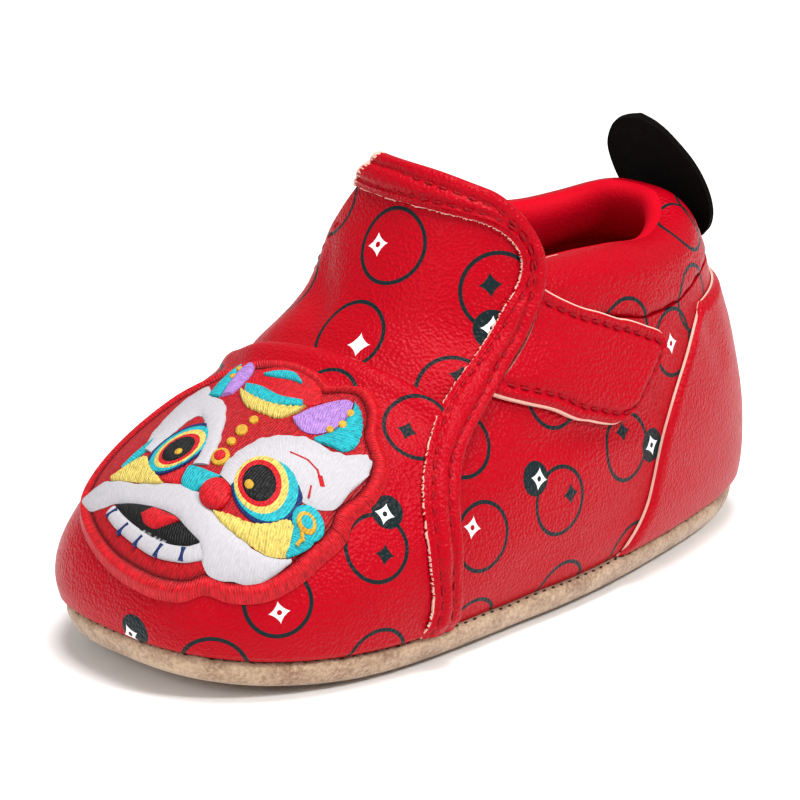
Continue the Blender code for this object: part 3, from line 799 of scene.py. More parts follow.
def leather(name, tone, panel=None, lift=0.0):
    """Soft coated leather with an embossed grain.

    The coating gives a satin gloss, broken into fine sparkling dots by a pebble grain of about half a
    millimetre, with a slow unevenness of colour from handling. Printed panels carry flat dark and white
    ink."""
    fold_share = 0.25
    handled = 0.86
    material, tree, shader, place = new_material(name, {
        "IOR": 1.5, "Specular IOR Level": 0.14, "Specular Tint": (1.0, 0.50, 0.53, 1.0)})
    pebble = node(tree, "ShaderNodeTexVoronoi", {"feature": "SMOOTH_F1"}, {
        "Vector": place, "Scale": per_mm(0.5), "Smoothness": 0.4}).outputs["Distance"]
    fold = mottle(tree, place, 2.4, detail=3.0, rough=0.6)
    height = sum_up(tree, "MULTIPLY_ADD", fold, fold_share, pebble)
    grain = node(tree, "ShaderNodeBump", None, {"Strength": 0.8, "Distance": 0.0002, "Height": height})
    base = mix_tones(tree, mottle(tree, place, 14.0), tone, darker(tone, handled))
    if panel:
        colours = bpy.context.scene.shoe_colours
        dark, white = print_masks(tree, place, panel, lift)
        base = mix_tones(tree, dark, base, plain_tone(colours.ink))
        base = mix_tones(tree, white, base, plain_tone(colours.white_ink))
    gloss = node(tree, "ShaderNodeMapRange", None, {"Value": fold, "To Min": 0.30, "To Max": 0.46})
    link_looks(tree, shader, {
        "Base Color": base, "Roughness": gloss.outputs[0], "Normal": grain.outputs[0]})
    return material


def suede():
    """Split hide with a brushed nap: no gloss, short fibres that catch light at the edges, cloudy tan."""
    fibre_share = 1.2
    spread = 0.8
    tones = ((0.66, "#84644E"), (1.00, "#BAA084"))
    material, tree, shader, place = new_material("tan_suede", {
        "Roughness": 0.95, "Sheen Weight": 0.30, "Sheen Roughness": 0.5, "Specular IOR Level": 0.15})
    cloud = mottle(tree, place, 6.0, detail=4.0, rough=0.65)
    fibre = mottle(tree, place, 0.6, detail=3.0, rough=0.75)
    mixed = sum_up(tree, "MULTIPLY_ADD", fibre, fibre_share, cloud)
    tan = node(tree, "ShaderNodeValToRGB", None, {"Fac": sum_up(tree, "MULTIPLY", mixed, spread)})
    for stop, (position, tone) in zip(tan.color_ramp.elements, tones):
        stop.position = position
        stop.color = colour(tone)
    nap = node(tree, "ShaderNodeBump", None, {"Strength": 0.8, "Distance": 0.00028, "Height": fibre})
    link_looks(tree, shader, {"Base Color": tan.outputs[0], "Normal": nap.outputs[0]})
    return material


def cloth(name, tone, size, rough=0.85):
    """Brushed lining, napped tab or raw edge: matt, with a soft fibre mottle, its size in millimetres."""
    shaded = 0.72
    material, tree, shader, place = new_material(name, {"Roughness": rough, "Specular IOR Level": 0.06})
    fibre = mottle(tree, place, size, detail=3.0, rough=0.65)
    base = mix_tones(tree, fibre, tone, darker(tone, shaded))
    nap = node(tree, "ShaderNodeBump", None, {"Strength": 0.5, "Distance": 0.0002, "Height": fibre})
    link_looks(tree, shader, {"Base Color": base, "Normal": nap.outputs[0]})
    return material


def twisted_thread(name, tone):
    """Sewing thread: two plies whose twist shows as fine slanting ridges, with a soft sheen and painted shade
    in the twist's grooves.
    """
    shaded = 0.6
    material, tree, shader, place = new_material(name, {"Roughness": 0.6, "Specular IOR Level": 0.15})
    twist = node(tree, "ShaderNodeTexWave", {"bands_direction": "DIAGONAL"}, {
        "Vector": place, "Scale": waves_per_mm(0.5), "Distortion": 1.0}).outputs["Fac"]
    # Painted shade: the colour darkens to the shaded share where the twist is low, in its grooves
    base = mix_tones(tree, twist, darker(tone, shaded), tone)
    ridge = node(tree, "ShaderNodeBump", None, {"Strength": 0.4, "Distance": 0.00015, "Height": twist})
    link_looks(tree, shader, {"Base Color": base, "Normal": ridge.outputs[0]})
    return material


def satin_stitch():
    """Rayon embroidery thread laid side by side: each is a fine ridge, with painted highlight and shade in
    its colour.

    The thread runs along V of the piece's own map, one about every 0.38 mm along U, shaken a little so that
    the rows aren't even. The tint's alpha says how strongly the single threads show, because the white fill
    lies almost smooth."""
    shake = (0.00035, 0.00035, 0.0)
    stretch = (1.0, 0.40, 1.0)
    uneven = 1.9
    level = -1.10
    ridge_light = 0.30
    ridge_high = 0.4
    relief_share = 0.8
    material, tree, shader, place = new_material("rayon_satin_stitch", {
        "Roughness": 0.45, "Specular IOR Level": 0.18})
    laid = node(tree, "ShaderNodeUVMap", {"uv_map": "thread"}).outputs[0]
    tint = node(tree, "ShaderNodeAttribute", {"attribute_name": "thread_tint"})
    rough_edge = node(tree, "ShaderNodeTexNoise", None, {
        "Vector": place, "Scale": per_mm(1.1), "Detail": 2.0}).outputs["Color"]
    shaken = node(tree, "ShaderNodeVectorMath", {"operation": "MULTIPLY_ADD"}, {
        0: rough_edge, 1: shake, 2: laid}).outputs[0]
    ridge = node(tree, "ShaderNodeTexWave", {"wave_type": "BANDS", "bands_direction": "X"}, {
        "Vector": shaken, "Scale": waves_per_mm(0.38), "Distortion": 2.0, "Detail": 2.0}).outputs["Fac"]
    stretched = node(tree, "ShaderNodeMapping", None, {"Vector": laid, "Scale": stretch}).outputs[0]
    each = mottle(tree, stretched, 0.36, detail=2.0, rough=0.7)
    # Painted highlight and shade: the thread-to-thread noise (uneven, level) and each ridge's crest
    # (ridge_light) lighten or darken the colour
    light = sum_up(tree, "MULTIPLY_ADD", each, uneven, level)
    light = sum_up(tree, "MULTIPLY_ADD", ridge, ridge_light, light)
    shade = sum_up(tree, "MULTIPLY_ADD", light, tint.outputs["Alpha"], 1.0)
    base = node(tree, "ShaderNodeVectorMath", {"operation": "SCALE"}, {
        0: tint.outputs["Color"], "Scale": shade}).outputs[0]
    strong = sum_up(tree, "MULTIPLY", tint.outputs["Alpha"], relief_share)
    height = sum_up(tree, "MULTIPLY_ADD", ridge, ridge_high, each)
    raised = node(tree, "ShaderNodeBump", None, {"Strength": strong, "Distance": 0.0003, "Height": height})
    link_looks(tree, shader, {"Base Color": base, "Normal": raised.outputs[0]})
    return material


def shared(name, make, *values):
    """The material of that name, made the first time it is asked for."""
    if name not in bpy.data.materials:
        make(*values)
    return bpy.data.materials[name]


def plain_leather():
    """The red leather without print."""
    tone = plain_tone(bpy.context.scene.shoe_colours.leather)
    return shared("plain_red_leather", leather, "plain_red_leather", tone)


def printed_leather(panel, lift):
    """The red leather with the print of one panel."""
    tone = plain_tone(bpy.context.scene.shoe_colours.leather)
    return leather("printed_red_leather_" + panel, tone, panel, lift)


def lining():
    """The red lining cloth, with fibres of about half a millimetre."""
    tone = plain_tone(bpy.context.scene.shoe_colours.lining)
    return shared("red_brushed_lining", cloth, "red_brushed_lining", tone, 0.5, 0.7)


def raw_edge():
    """The pale fibres of a cut edge, about 0.3 mm."""
    tone = plain_tone(bpy.context.scene.shoe_colours.raw_edge)
    return shared("raw_cut_edge", cloth, "raw_cut_edge", tone, 0.3, 0.9)


def black_nap():
    """The black napped stuff of the tab, with fibres of about 0.4 mm."""
    tone = plain_tone(bpy.context.scene.shoe_colours.tab)
    return shared("black_napped_tab", cloth, "black_napped_tab", tone, 0.4, 0.95)


def red_thread():
    """The red sewing thread."""
    tone = plain_tone(bpy.context.scene.shoe_colours.stitching)
    return shared("red_thread", twisted_thread, "red_thread", tone)


def stitch_run(path, normals, pitch, long, wide, sink=0.0):
    """Stitches along a path: stretched balls, one every pitch, lying along the path on its surface.

    Each is the ball of longitude and latitude, scaled along, across and up: centre + x along + y side + z
    normal. Each points from a little before its middle to a little after it."""
    spokes = 8
    rings = 7
    pole = 0.12
    little = 0.3
    where = run_length(path)
    count = max(int(where[-1] / pitch), 1)
    at = (np.arange(count) + 0.5) * where[-1] / count

    def pick(values, shift=0.0):
        return np.stack([np.interp(at + shift, where, values[:, k]) for k in range(3)], axis=-1)

    ahead = unit(pick(path, little) - pick(path, -little))
    normal = pick(normals)
    normal = unit(normal - (normal * ahead).sum(-1, keepdims=True) * ahead)
    side = np.cross(normal, ahead)
    turn = circle(spokes)
    tilt = np.linspace(pole, np.pi - pole, rings)[:, None]
    ball = np.stack([
        np.cos(tilt) + 0.0 * turn, np.sin(tilt) * np.cos(turn), np.sin(tilt) * np.sin(turn)], axis=-1)
    ball = ball.reshape(-1, 3) * np.array([long / 2.0, wide / 2.0, wide / 2.0])
    points = pick(path)[:, None] + ball[None, :, :1] * ahead[:, None] + ball[None, :, 1:2] * side[:, None]
    points = points + (ball[None, :, 2:] - sink) * normal[:, None]
    start = np.arange(count)[:, None, None] * len(ball)
    faces = (grid_quads(rings, spokes, round_columns=True)[None] + start).reshape(-1, 4)
    caps = (np.array([list(end) for end in end_caps(rings, spokes)])[None] + start).reshape(-1, spokes)
    return points.reshape(-1, 3), faces, caps


def sewn_run(u, v, lift, sink=0.0):
    """A row of the shoe's ordinary stitches along places on the last."""
    sizes = bpy.context.scene.shoe_sizes
    return stitch_run(skin(u, v, lift), outward(u, v), sizes.stitch_pitch / MM, sizes.stitch_long / MM,
                      sizes.thread / MM, sink)


def add_stitches(name, runs, material):
    """One piece with all the stitches of several runs."""
    points, faces, caps, start = [], [], [], 0
    for run_points, run_faces, run_caps in runs:
        points.append(run_points)
        faces.append(run_faces + start)
        caps.append(run_caps + start)
        start += len(run_points)
    return add_piece(name, np.concatenate(points), np.concatenate(faces), [material],
                     caps=np.concatenate(caps).tolist(), angle=80.0)


def groove(distance, at, depth):
    """The dip that a row of stitches pulls into the leather: a bell turned down."""
    width = 0.55
    return -depth * bell(distance - at, width)


class ShoeSizes(bpy.types.PropertyGroup):
    """Sizes of the print and the sewing."""
    ring_across: bpy.props.FloatProperty(
        name="Ring", description="Width across a printed ring", default=0.0112, unit="LENGTH")
    ring_line: bpy.props.FloatProperty(
        name="Ring line", description="Thickness of a printed ring's line", default=0.00062, unit="LENGTH")
    disc_across: bpy.props.FloatProperty(
        name="Disc", description="Width across a printed disc", default=0.0058, unit="LENGTH")
    sparkle_reach: bpy.props.FloatProperty(
        name="Sparkle", description="Reach of a printed sparkle from its middle", default=0.0019,
        unit="LENGTH")
    stitch_pitch: bpy.props.FloatProperty(
        name="Stitch pitch", description="Distance from stitch to stitch", default=0.0023, unit="LENGTH")
    stitch_long: bpy.props.FloatProperty(
        name="Stitch length", description="Length of one stitch that shows", default=0.0015, unit="LENGTH")
    thread: bpy.props.FloatProperty(
        name="Thread", description="Thickness of the sewing thread", default=0.00042, unit="LENGTH")


class ShoeColours(bpy.types.PropertyGroup):
    """Colours of the shoe's finishes, linear."""
    leather: bpy.props.FloatVectorProperty(
        name="Leather", description="Red coated leather", subtype="COLOR", size=3,
        default=colour("#A80014")[:3])
    lining: bpy.props.FloatVectorProperty(
        name="Lining", description="Red lining", subtype="COLOR", size=3, default=colour("#C4001A")[:3])
    ink: bpy.props.FloatVectorProperty(
        name="Dark ink", description="Print's dark ink", subtype="COLOR", size=3,
        default=colour("#0C2224")[:3])
    white_ink: bpy.props.FloatVectorProperty(
        name="White ink", description="Print's white ink", subtype="COLOR", size=3,
        default=colour("#EEEAEA")[:3])
    raw_edge: bpy.props.FloatVectorProperty(
        name="Raw edge", description="Cut edges of the leather", subtype="COLOR", size=3,
        default=colour("#E8B8A8")[:3])
    stitching: bpy.props.FloatVectorProperty(
        name="Stitching", description="Red sewing thread", subtype="COLOR", size=3,
        default=colour("#980414")[:3])
    tab: bpy.props.FloatVectorProperty(
        name="Heel tab", description="Black heel tab", subtype="COLOR", size=3, default=colour("#0A0706")[:3])


class SHOE_OT_sole(bpy.types.Operator):
    """Builds the turned suede sole, its seam's stitches and the footbed"""
    bl_idname = "shoe.sole"
    bl_label = "Sole"
    spokes = 320
    edge_rows = 34
    flat_rows = 8
    wave = (0.12, 47.0, 11.0, 0.7)
    wave_rise = (1.0, 3.5)
    seam_inset = -0.05
    seam_height = 4.62
    seam_v = 0.02
    seam_points = 1200
    seam_pitch = 1.9
    seam_stitch = 0.75
    seam_thread = 0.36
    thread_tone = "#3E261A"

    def ring(self, u, inset, z):
        """The seam's outline drawn in, at a height that rises with the toe spring, slightly uneven."""
        ring = last(u, 0.0, inset)
        wave = ripple(2.0 * np.pi * u, *self.wave)
        ring[..., 2] = ring[..., 2] - LAST["side_z"][0] + z + wave * smooth(z, self.wave_rise)
        return ring

    def flatten(self, ring, shares):
        """Rows from a ring to its middle line: each point moves across to its partner on the other side."""
        middle = ring.copy()
        middle[:, 0] = (ring[:, 0] + np.roll(ring[::-1], 1, axis=0)[:, 0]) / 2.0
        return between(middle, ring, shares[:, None, None])

    def stack(self, levels):
        """A closed body through rings at (inset, height), flattened to the middle line below and above."""
        u = np.arange(self.spokes) / self.spokes
        rim = np.stack([self.ring(u, inset, z) for inset, z in levels])
        shares = np.linspace(0.0, 1.0, self.flat_rows, endpoint=False)
        points = np.concatenate([self.flatten(rim[0], shares), rim, self.flatten(rim[-1], shares[::-1])])
        return points.reshape(-1, 3), grid_quads(len(points), len(u), round_columns=True)

    def execute(self, context):
        t = np.linspace(0.0, 1.0, self.edge_rows)
        points, faces = self.stack(np.stack([along(SOLE, "inset", t), along(SOLE, "z", t)], axis=-1))
        add_piece("suede_sole", points, faces, [shared("tan_suede", suede)], ["outsole"])
        points, faces = self.stack([(inset, TRAY_FLOOR + GAP + rise) for inset, rise in FOOTBED_ROWS])
        add_piece("footbed", points, faces, [lining()], ["insole"])
        u = np.linspace(0.0, 1.0, self.seam_points)
        dark = shared("dark_waxed_thread", twisted_thread, "dark_waxed_thread", colour(self.thread_tone))
        run = stitch_run(self.ring(u, self.seam_inset, self.seam_height), outward(u, self.seam_v),
                         self.seam_pitch, self.seam_stitch, self.seam_thread)
        add_stitches("sole_seam_stitches", [run], dark)
        return {"FINISHED"}


class SHOE_OT_upper(bpy.types.Operator):
    """Builds the hollow upper with its printed outside and plain lining"""
    bl_idname = "shoe.upper"
    bl_label = "Upper"
    spokes = 300
    rows = 56
    hem = (0.03, 0.0)
    hem_tuck = 0.5

    def execute(self, context):
        u = np.arange(self.spokes) / self.spokes
        top = height_to_v(u, between(THROAT_BOTTOM, crease_height(u), smooth(from_toe(u), THROAT_SIDE)))
        v = np.linspace(0.0, 1.0, self.rows)[:, None] * top
        outer = skin(u, v, -self.hem_tuck * smooth(v, self.hem))
        inner = last(u, v) - WALL * outward(u + 0.0 * v, v)
        rim = (outer[-1:] + inner[-1:]) / 2.0 + np.array([0.0, 0.0, GAP])
        points = np.concatenate([outer, rim, inner[::-1]])
        faces = grid_quads(len(points), len(u), round_rows=True, round_columns=True)
        kinds = np.repeat(np.where(np.arange(len(points)) < len(outer), 0, 1), len(u))
        add_piece("quarters", points.reshape(-1, 3), faces, [printed_leather("quarter", 0.0), lining()],
                  ["upper"], kinds)
        return {"FINISHED"}


class SHOE_OT_front(bpy.types.Operator):
    """Builds the vamp over the toe and the flap over the throat"""
    bl_idname = "shoe.front"
    bl_label = "Vamp and flap"
    columns = 150
    side_edge = (0.7, 0.0)
    vamp_rows = 110
    vamp_long = 51.0
    vamp_rise = 42.0
    vamp_sole_edge = (-0.6, 1.6)
    vamp_side_drop = 0.4
    roll_high = 0.95
    roll_at = 1.2
    roll_wide = 1.7
    roll_drop = 0.55
    roll_edge = (0.6, 0.0)
    flap_rows = 70
    flap_long = 28.0
    flap_dip = 1.10
    flap_dip_wide = 3.6
    flap_side_drop = 0.35
    flap_top_drop = 0.3
    flap_top_edge = (27.4, 28.0)
    side_row = (0.04, 0.66)
    side_row_in = 0.008
    side_row_points = 300
    slant_row = (-0.145, -0.066)
    slant_row_down = 0.035
    slant_row_points = 150
    stitch_sink = 0.05

    def vamp(self):
        """The toe panel: it thickens from the sole, and its top edge is a soft roll over the flap."""
        across = np.linspace(0.0, 1.0, self.columns)
        up = np.linspace(0.0, 1.0, self.vamp_rows)[:, None]
        v = between(PANEL_START, instep_seam(0.0), up)
        for _ in range(2):
            u = between_edges(across, v)
            v = between(PANEL_START, instep_seam(u) - SEAM_GAP, up)
        below_top = (1.0 - up) * self.vamp_long
        roll = self.roll_high * bell(below_top - self.roll_at, self.roll_wide)
        roll = roll - self.roll_drop * smooth(below_top, self.roll_edge)
        lift = GAP + PANEL * smooth(up * self.vamp_rise, self.vamp_sole_edge) + roll
        lift = lift - self.vamp_side_drop * smooth(across * UP_MM, self.side_edge)
        points, faces, kinds = overlay(u, v, lift)
        look = [printed_leather("vamp", GAP + PANEL), plain_leather(), lining()]
        add_piece("vamp_panel", points, faces, look, ["vamp"], kinds)

    def flap(self):
        """The flap: it dips where it goes under the vamp's roll, and its cut edge shows at the inner side."""
        across = np.linspace(0.0, 1.0, self.columns)
        up = np.linspace(0.0, 1.0, self.flap_rows)[:, None]
        u = between_edges(across, between(instep_seam(0.0), BAND["outer_v"][BAND_CORNER], up))
        v = between(instep_seam(u) - SEAM_GAP * 2.0, flap_top(u), up)
        above_seam = up * self.flap_long
        lift = GAP + PANEL - self.flap_dip * bell(above_seam, self.flap_dip_wide)
        lift = lift - self.flap_side_drop * smooth(across * UP_MM, self.side_edge)
        lift = lift - self.flap_top_drop * smooth(above_seam, self.flap_top_edge)
        points, faces, kinds = overlay(u, v, lift)
        look = [printed_leather("flap", GAP + PANEL), raw_edge(), lining()]
        add_piece("flap_panel", points, faces, look, ["front_flap"], kinds)

    def execute(self, context):
        self.vamp()
        self.flap()
        side_v = np.linspace(*self.side_row, self.side_row_points)
        slant_u = np.linspace(*self.slant_row, self.slant_row_points)
        rows = (
            (inner_edge(side_v) + self.side_row_in, side_v),
            (slant_u, flap_top(slant_u) - self.slant_row_down),
        )
        runs = [sewn_run(u, v, GAP + PANEL, self.stitch_sink) for u, v in rows]
        add_stitches("inner_side_stitches", runs, red_thread())
        return {"FINISHED"}


class SHOE_OT_band(bpy.types.Operator):
    """Builds the folded edge band with its two rows of stitches"""
    bl_idname = "shoe.band"
    bl_label = "Edge band"
    rows = 420
    outer_row = 1.9
    inner_row = 1.4
    outer_row_high = 2.20
    inner_row_high = 2.18
    fold_steps = 9
    fold_turn = (-0.35, 0.5)
    fold_middle = (0.7, 1.35)
    fold_half = (0.9, 1.05)
    top_steps = 26
    top_start = 1.2
    top_stop = 0.3
    top_high = 2.45
    puff_high = 0.35
    puff_power = 0.8
    puff_span = (0.5, 3.0)
    groove_deep = 0.30
    edge_drop = 0.55
    edge_span = (1.0, 0.3)
    cut_ragged = (0.5, 1.0, 1.0, 0.0)
    cut_reach = (-0.1, 0.0, 0.0, -0.3)
    cut_high = (1.88, 1.80, 1.48, 1.45)
    back = ((2.0, 1.45), (0.8, 1.45), (0.35, 1.2), (0.35, 0.6))
    seed = 7
    ragged = 0.16
    worn_share = 0.25
    frayed_rows = 3
    kink = (0.22, 61.0, 23.0, 0.4)
    kink_span = (1.6, 2.6)
    tuck = 0.5
    tuck_span = (0.965, 1.0)

    def section(self, wide, ragged):
        """Round the folded band: (distance from its fold, height) of points, for each width.

        The fold is a quarter turn over the flap's edge, the top is puffed between two stitch grooves, the
        ragged cut edge stands square, and the underside lies above the flap."""
        turn = np.linspace(*self.fold_turn, self.fold_steps) * np.pi
        swing = np.stack([-np.cos(turn), np.sin(turn)], axis=-1)
        fold = np.array(self.fold_middle) + np.array(self.fold_half) * swing
        fold = np.broadcast_to(fold, wide.shape + fold.shape)
        wide = wide[:, None]
        flat = between(self.top_start, wide - self.top_stop, np.linspace(0.0, 1.0, self.top_steps))
        left = wide - flat
        span = wide - self.outer_row - self.inner_row
        puff = np.sin(np.pi * np.clip((flat - self.outer_row) / span, 0.0, 1.0)) ** self.puff_power
        high = self.top_high + self.puff_high * puff * smooth(span, self.puff_span)
        high = high + groove(flat, self.outer_row, self.groove_deep)
        high = high + groove(left, self.inner_row, self.groove_deep)
        high = high - self.edge_drop * smooth(left, self.edge_span)
        top = np.stack([flat, high], axis=-1)
        far = wide + ragged[:, None] * np.array(self.cut_ragged) + np.array(self.cut_reach)
        cut = np.stack([far, np.broadcast_to(self.cut_high, far.shape)], axis=-1)
        back = np.broadcast_to(np.array(self.back), (len(wide),) + np.shape(self.back))
        return np.concatenate([fold, top, cut, back], axis=1)

    def execute(self, context):
        t = np.linspace(0.0, 1.0, self.rows)[:, None]
        edge = {name: along(BAND, name, t) for name in BAND_COLUMNS}
        span = last(edge["inner_u"], edge["inner_v"]) - last(edge["outer_u"], edge["outer_v"])
        wide = np.linalg.norm(span, axis=-1)[:, 0]
        chance = np.random.default_rng(self.seed)
        ragged = chance.uniform(-self.ragged, self.ragged, len(wide))
        worn = chance.random(len(wide) - 1) < self.worn_share
        section = self.section(wide, ragged)

        def place(away):
            share = away / wide[:, None]
            u = between(edge["outer_u"], edge["inner_u"], share)
            return u, between(edge["outer_v"], edge["inner_v"], share)

        kink = ripple(t, *self.kink) * smooth(section[..., 1], self.kink_span)
        tuck = 1.0 - self.tuck * smooth(t, self.tuck_span)
        points = skin(*place(section[..., 0]), (section[..., 1] + kink) * tuck)
        rows, count = points.shape[:2]
        faces = grid_quads(rows, count, round_columns=True)
        column = np.tile(np.arange(count), rows - 1)
        row = np.repeat(np.arange(rows - 1), count)
        cut = self.fold_steps + self.top_steps
        frayed = (row <= chance.integers(0, self.frayed_rows, count)[column]) & (column < cut)
        pale = (column >= cut) & (column <= cut + 1) & ~worn[row]
        band = add_piece("edge_band_fold", points.reshape(-1, 3), faces, [plain_leather(), raw_edge()],
                         ["edge_band"], np.where(frayed | pale, 1, 0), end_caps(rows, count))
        band.data.polygons[len(faces)].material_index = 1
        runs = []
        for away, high in ((0.0 * wide + self.outer_row, self.outer_row_high),
                           (wide - self.inner_row, self.inner_row_high)):
            u, v = place(away[:, None])
            runs.append(sewn_run(u[:, 0], v[:, 0], high * tuck[:, 0]))
        add_stitches("band_stitches", runs, red_thread())
        return {"FINISHED"}


class SHOE_OT_strap(bpy.types.Operator):
    """Builds the closing strap with its stitched border"""
    bl_idname = "shoe.strap"
    bl_label = "Strap"
    columns = 150
    rows = 70
    border = 2.0
    groove_deep = 0.35
    pale_edge = 0.34
    end_reach = 1.1
    edge_drop = 0.8
    edge_span = (0.8, 0.0)
    crown = 0.2
    crown_span = (2.4, 4.5)
    free = 0.5
    free_span = (0.55, 1.0)
    back_free = 0.4
    back_free_span = (0.7, 1.0)
    side_points = 120
    side_start = 0.02
    end_points = 30
    end_share = 0.92
    stitch_sink = 0.12

    def place(self, t, share):
        """u and v on the strap: t along it, share from its lower to its upper edge."""
        u = between(along(STRAP, "lower_u", t), along(STRAP, "upper_u", t), share)
        return u, between(along(STRAP, "lower_v", t), along(STRAP, "upper_v", t), share)

    def face(self, t):
        """Height of the strap's face, a little freer towards its end."""
        return GAP + STRAP_THICK + self.free * smooth(t, self.free_span)

    def execute(self, context):
        t = np.linspace(0.0, 1.0, self.columns)
        share = np.linspace(0.0, 1.0, self.rows)[:, None]
        u, v = self.place(t, share)
        flat = last(u, v)
        wide = np.linalg.norm(flat[-1] - flat[0], axis=-1)
        middle_row = flat[self.rows // 2]
        long = np.linalg.norm(middle_row[-1] - middle_row[0])
        away = np.minimum(np.minimum(share, 1.0 - share) * wide, (1.0 - t) * long * self.end_reach)
        lift = self.face(t) - self.edge_drop * smooth(away, self.edge_span)
        lift = lift + groove(away, self.border, self.groove_deep) + self.crown * smooth(away, self.crown_span)
        back = GAP + self.back_free * smooth(t, self.back_free_span)
        points, faces, kinds = overlay(u, v, lift, back)
        at_edge = (away[:-1, :-1] + away[1:, 1:]) / 2.0 < self.pale_edge
        kinds[:at_edge.size] = np.where(at_edge.ravel(), 1, 0)
        add_piece("strap", points, faces, [plain_leather(), raw_edge(), lining()],
                  ["strap_tab"], kinds)
        inset = self.border / wide
        stop = 1.0 - self.border / long
        side_t = np.linspace(self.side_start, stop - self.side_start, self.side_points)
        low = np.interp(side_t, t, inset)
        reach = self.end_share * (0.5 - np.interp(stop, t, inset))
        path_t = np.concatenate([side_t, np.full(self.end_points, stop), side_t[::-1]])
        path_share = np.concatenate([
            low, 0.5 + np.linspace(-reach, reach, self.end_points), 1.0 - low[::-1]])
        run = sewn_run(*self.place(path_t, path_share), self.face(path_t) - self.stitch_sink)
        add_stitches("strap_stitches", [run], red_thread())
        return {"FINISHED"}


class SHOE_OT_heel(bpy.types.Operator):
    """Builds the heel counter and the pull tab"""
    bl_idname = "shoe.heel"
    bl_label = "Heel counter and tab"
    heel_mm = 260.0
    counter_rows = 80
    counter_columns = 170
    side_drop = 0.68
    side_edge = (0.9, 0.0)
    sole_drop = 0.9
    sole_edge = (0.05, 0.0)
    top_drop = 0.8
    top_edge = (COUNTER_TOP - 0.04, COUNTER_TOP)
    tab_rows = 60
    tab_columns = 41
    tab_thin = 0.35
    tab_thin_power = 8

    def counter(self):
        """The overlay round the heel: thin at its cut front edges, turned in at sole and crease."""
        v = np.linspace(PANEL_START, COUNTER_TOP, self.counter_rows)[:, None]
        across = np.linspace(0.0, 1.0, self.counter_columns)
        front = through(COUNTER["v"], COUNTER["u"], v)
        u = front + across * (1.0 - 2.0 * front)
        from_side = np.minimum(across, 1.0 - across) * (1.0 - 2.0 * front) * self.heel_mm
        lift = GAP + PANEL - self.side_drop * smooth(from_side, self.side_edge)
        lift = lift - self.sole_drop * smooth(v, self.sole_edge) - self.top_drop * smooth(v, self.top_edge)
        points, faces, kinds = overlay(u, v, lift)
        add_piece("counter", points, faces, [plain_leather(), raw_edge(), lining()],
                  ["heel_counter"], kinds)

    def tab(self):
        """The oval tab: a sheet bent along its middle line, a little thinner at its edge."""
        t = np.linspace(0.0, 1.0, self.tab_rows)[:, None]
        across = np.linspace(-1.0, 1.0, self.tab_columns)
        x = along(TAB, "half", t) * across
        y = along(TAB, "y", t) - TAB_BOW * (x / TAB["half"].max()) ** 2
        front = np.stack([x, y, along(TAB, "z", t) + 0.0 * across], axis=-1)
        rise = np.gradient(front[:, self.tab_columns // 2], axis=0)
        lean = unit(np.stack([0.0 * rise[:, 0], -rise[:, 2], rise[:, 1]], axis=-1))
        thick = TAB_THICK * (1.0 - self.tab_thin * np.abs(across) ** self.tab_thin_power)
        points, faces, _ = wrap_sheet(front, front - lean[:, None] * thick[:, None])
        add_piece("pull_tab", points, faces, [black_nap()], ["heel_tab"])

    def execute(self, context):
        self.counter()
        self.tab()
        return {"FINISHED"}


class SHOE_OT_collar(bpy.types.Operator):
    """Builds the padded collar"""
    bl_idname = "shoe.collar"
    bl_label = "Collar"
    rows = 280
    spokes = 64
    underside = 1.5 * np.pi
    seam_angle = 1.55
    seam_deep = 0.35
    seam_wide = 0.07
    lining_end = 4.45
    end_round = 3.0
    end_least = 0.05
    low_drop = 0.5
    pucker = (0.30, 190.0, 71.0, 1.1)
    pucker_angle = 5.2
    pucker_wide = 0.7
    puff_high = 0.35
    puff_at = 0.99
    puff_wide = 0.13
    bare_seam = (0.16, 0.20)
    print_lift = 0.3

    def execute(self, context):
        """A rounded section carried round the ankle: its angle starts outside and goes over the rim, down the
        inside and back below. Its ends are quarter rounds, and it puckers along the crease."""
        u = np.linspace(*COLLAR_SPAN, self.rows)[:, None]
        angle = np.linspace(0.0, 2.0 * np.pi, self.spokes, endpoint=False)
        power = np.where(angle > self.underside, COLLAR_ROUND_BELOW, COLLAR_ROUND)
        from_end = np.minimum(u - COLLAR_SPAN[0], COLLAR_SPAN[1] - u) * ROUND_MM
        left = 1.0 - np.clip(from_end / self.end_round, 0.0, 1.0)
        full = np.sqrt(np.clip(1.0 - left ** 2, self.end_least, 1.0))
        low = crease_height(u) + GAP - self.low_drop
        top = COLLAR_TOP - COLLAR_DIP * bell(from_toe(u) - COLLAR_DIP_AT, COLLAR_DIP_WIDTH)
        top = top + COLLAR_RISE * smooth(from_toe(u), COLLAR_RISE_SPAN)
        v = height_to_v(u, (low + top) / 2.0 + (top - low) / 2.0 * squared(np.sin(angle), power) * full)
        level = outward(u + 0.0 * angle, v)
        level[..., 2] = 0.0
        pucker = ripple(u, *self.pucker) * bell(angle - self.pucker_angle, self.pucker_wide)
        puff = self.puff_high * bell(round_gap(angle / (2.0 * np.pi), self.puff_at), self.puff_wide)
        seam = -self.seam_deep * bell(angle - self.seam_angle, self.seam_wide)
        out = COLLAR_THICK / 2.0 * (squared(np.cos(angle), power) * full - 1.0)
        out = out + (puff + pucker + seam) * full
        points = last(u, v) + unit(level) * out[..., None]
        rows, count = points.shape[:2]
        column = np.tile(np.arange(count), rows - 1)
        inside = (angle[column] > self.seam_angle) & (angle[column] < self.lining_end)
        at = np.repeat(u[:-1, 0], count)
        bare = (at > self.bare_seam[0]) & (at < self.bare_seam[1])
        bare = bare & (column == np.searchsorted(angle, self.seam_angle))
        look = [printed_leather("collar", self.print_lift), lining(), raw_edge()]
        faces = grid_quads(rows, count, round_columns=True)
        kinds = np.where(bare, 2, np.where(inside, 1, 0))
        collar = add_piece("padded_collar", points.reshape(-1, 3), faces, look, ["collar"],
                           kinds, end_caps(rows, count))
        return {"FINISHED"}


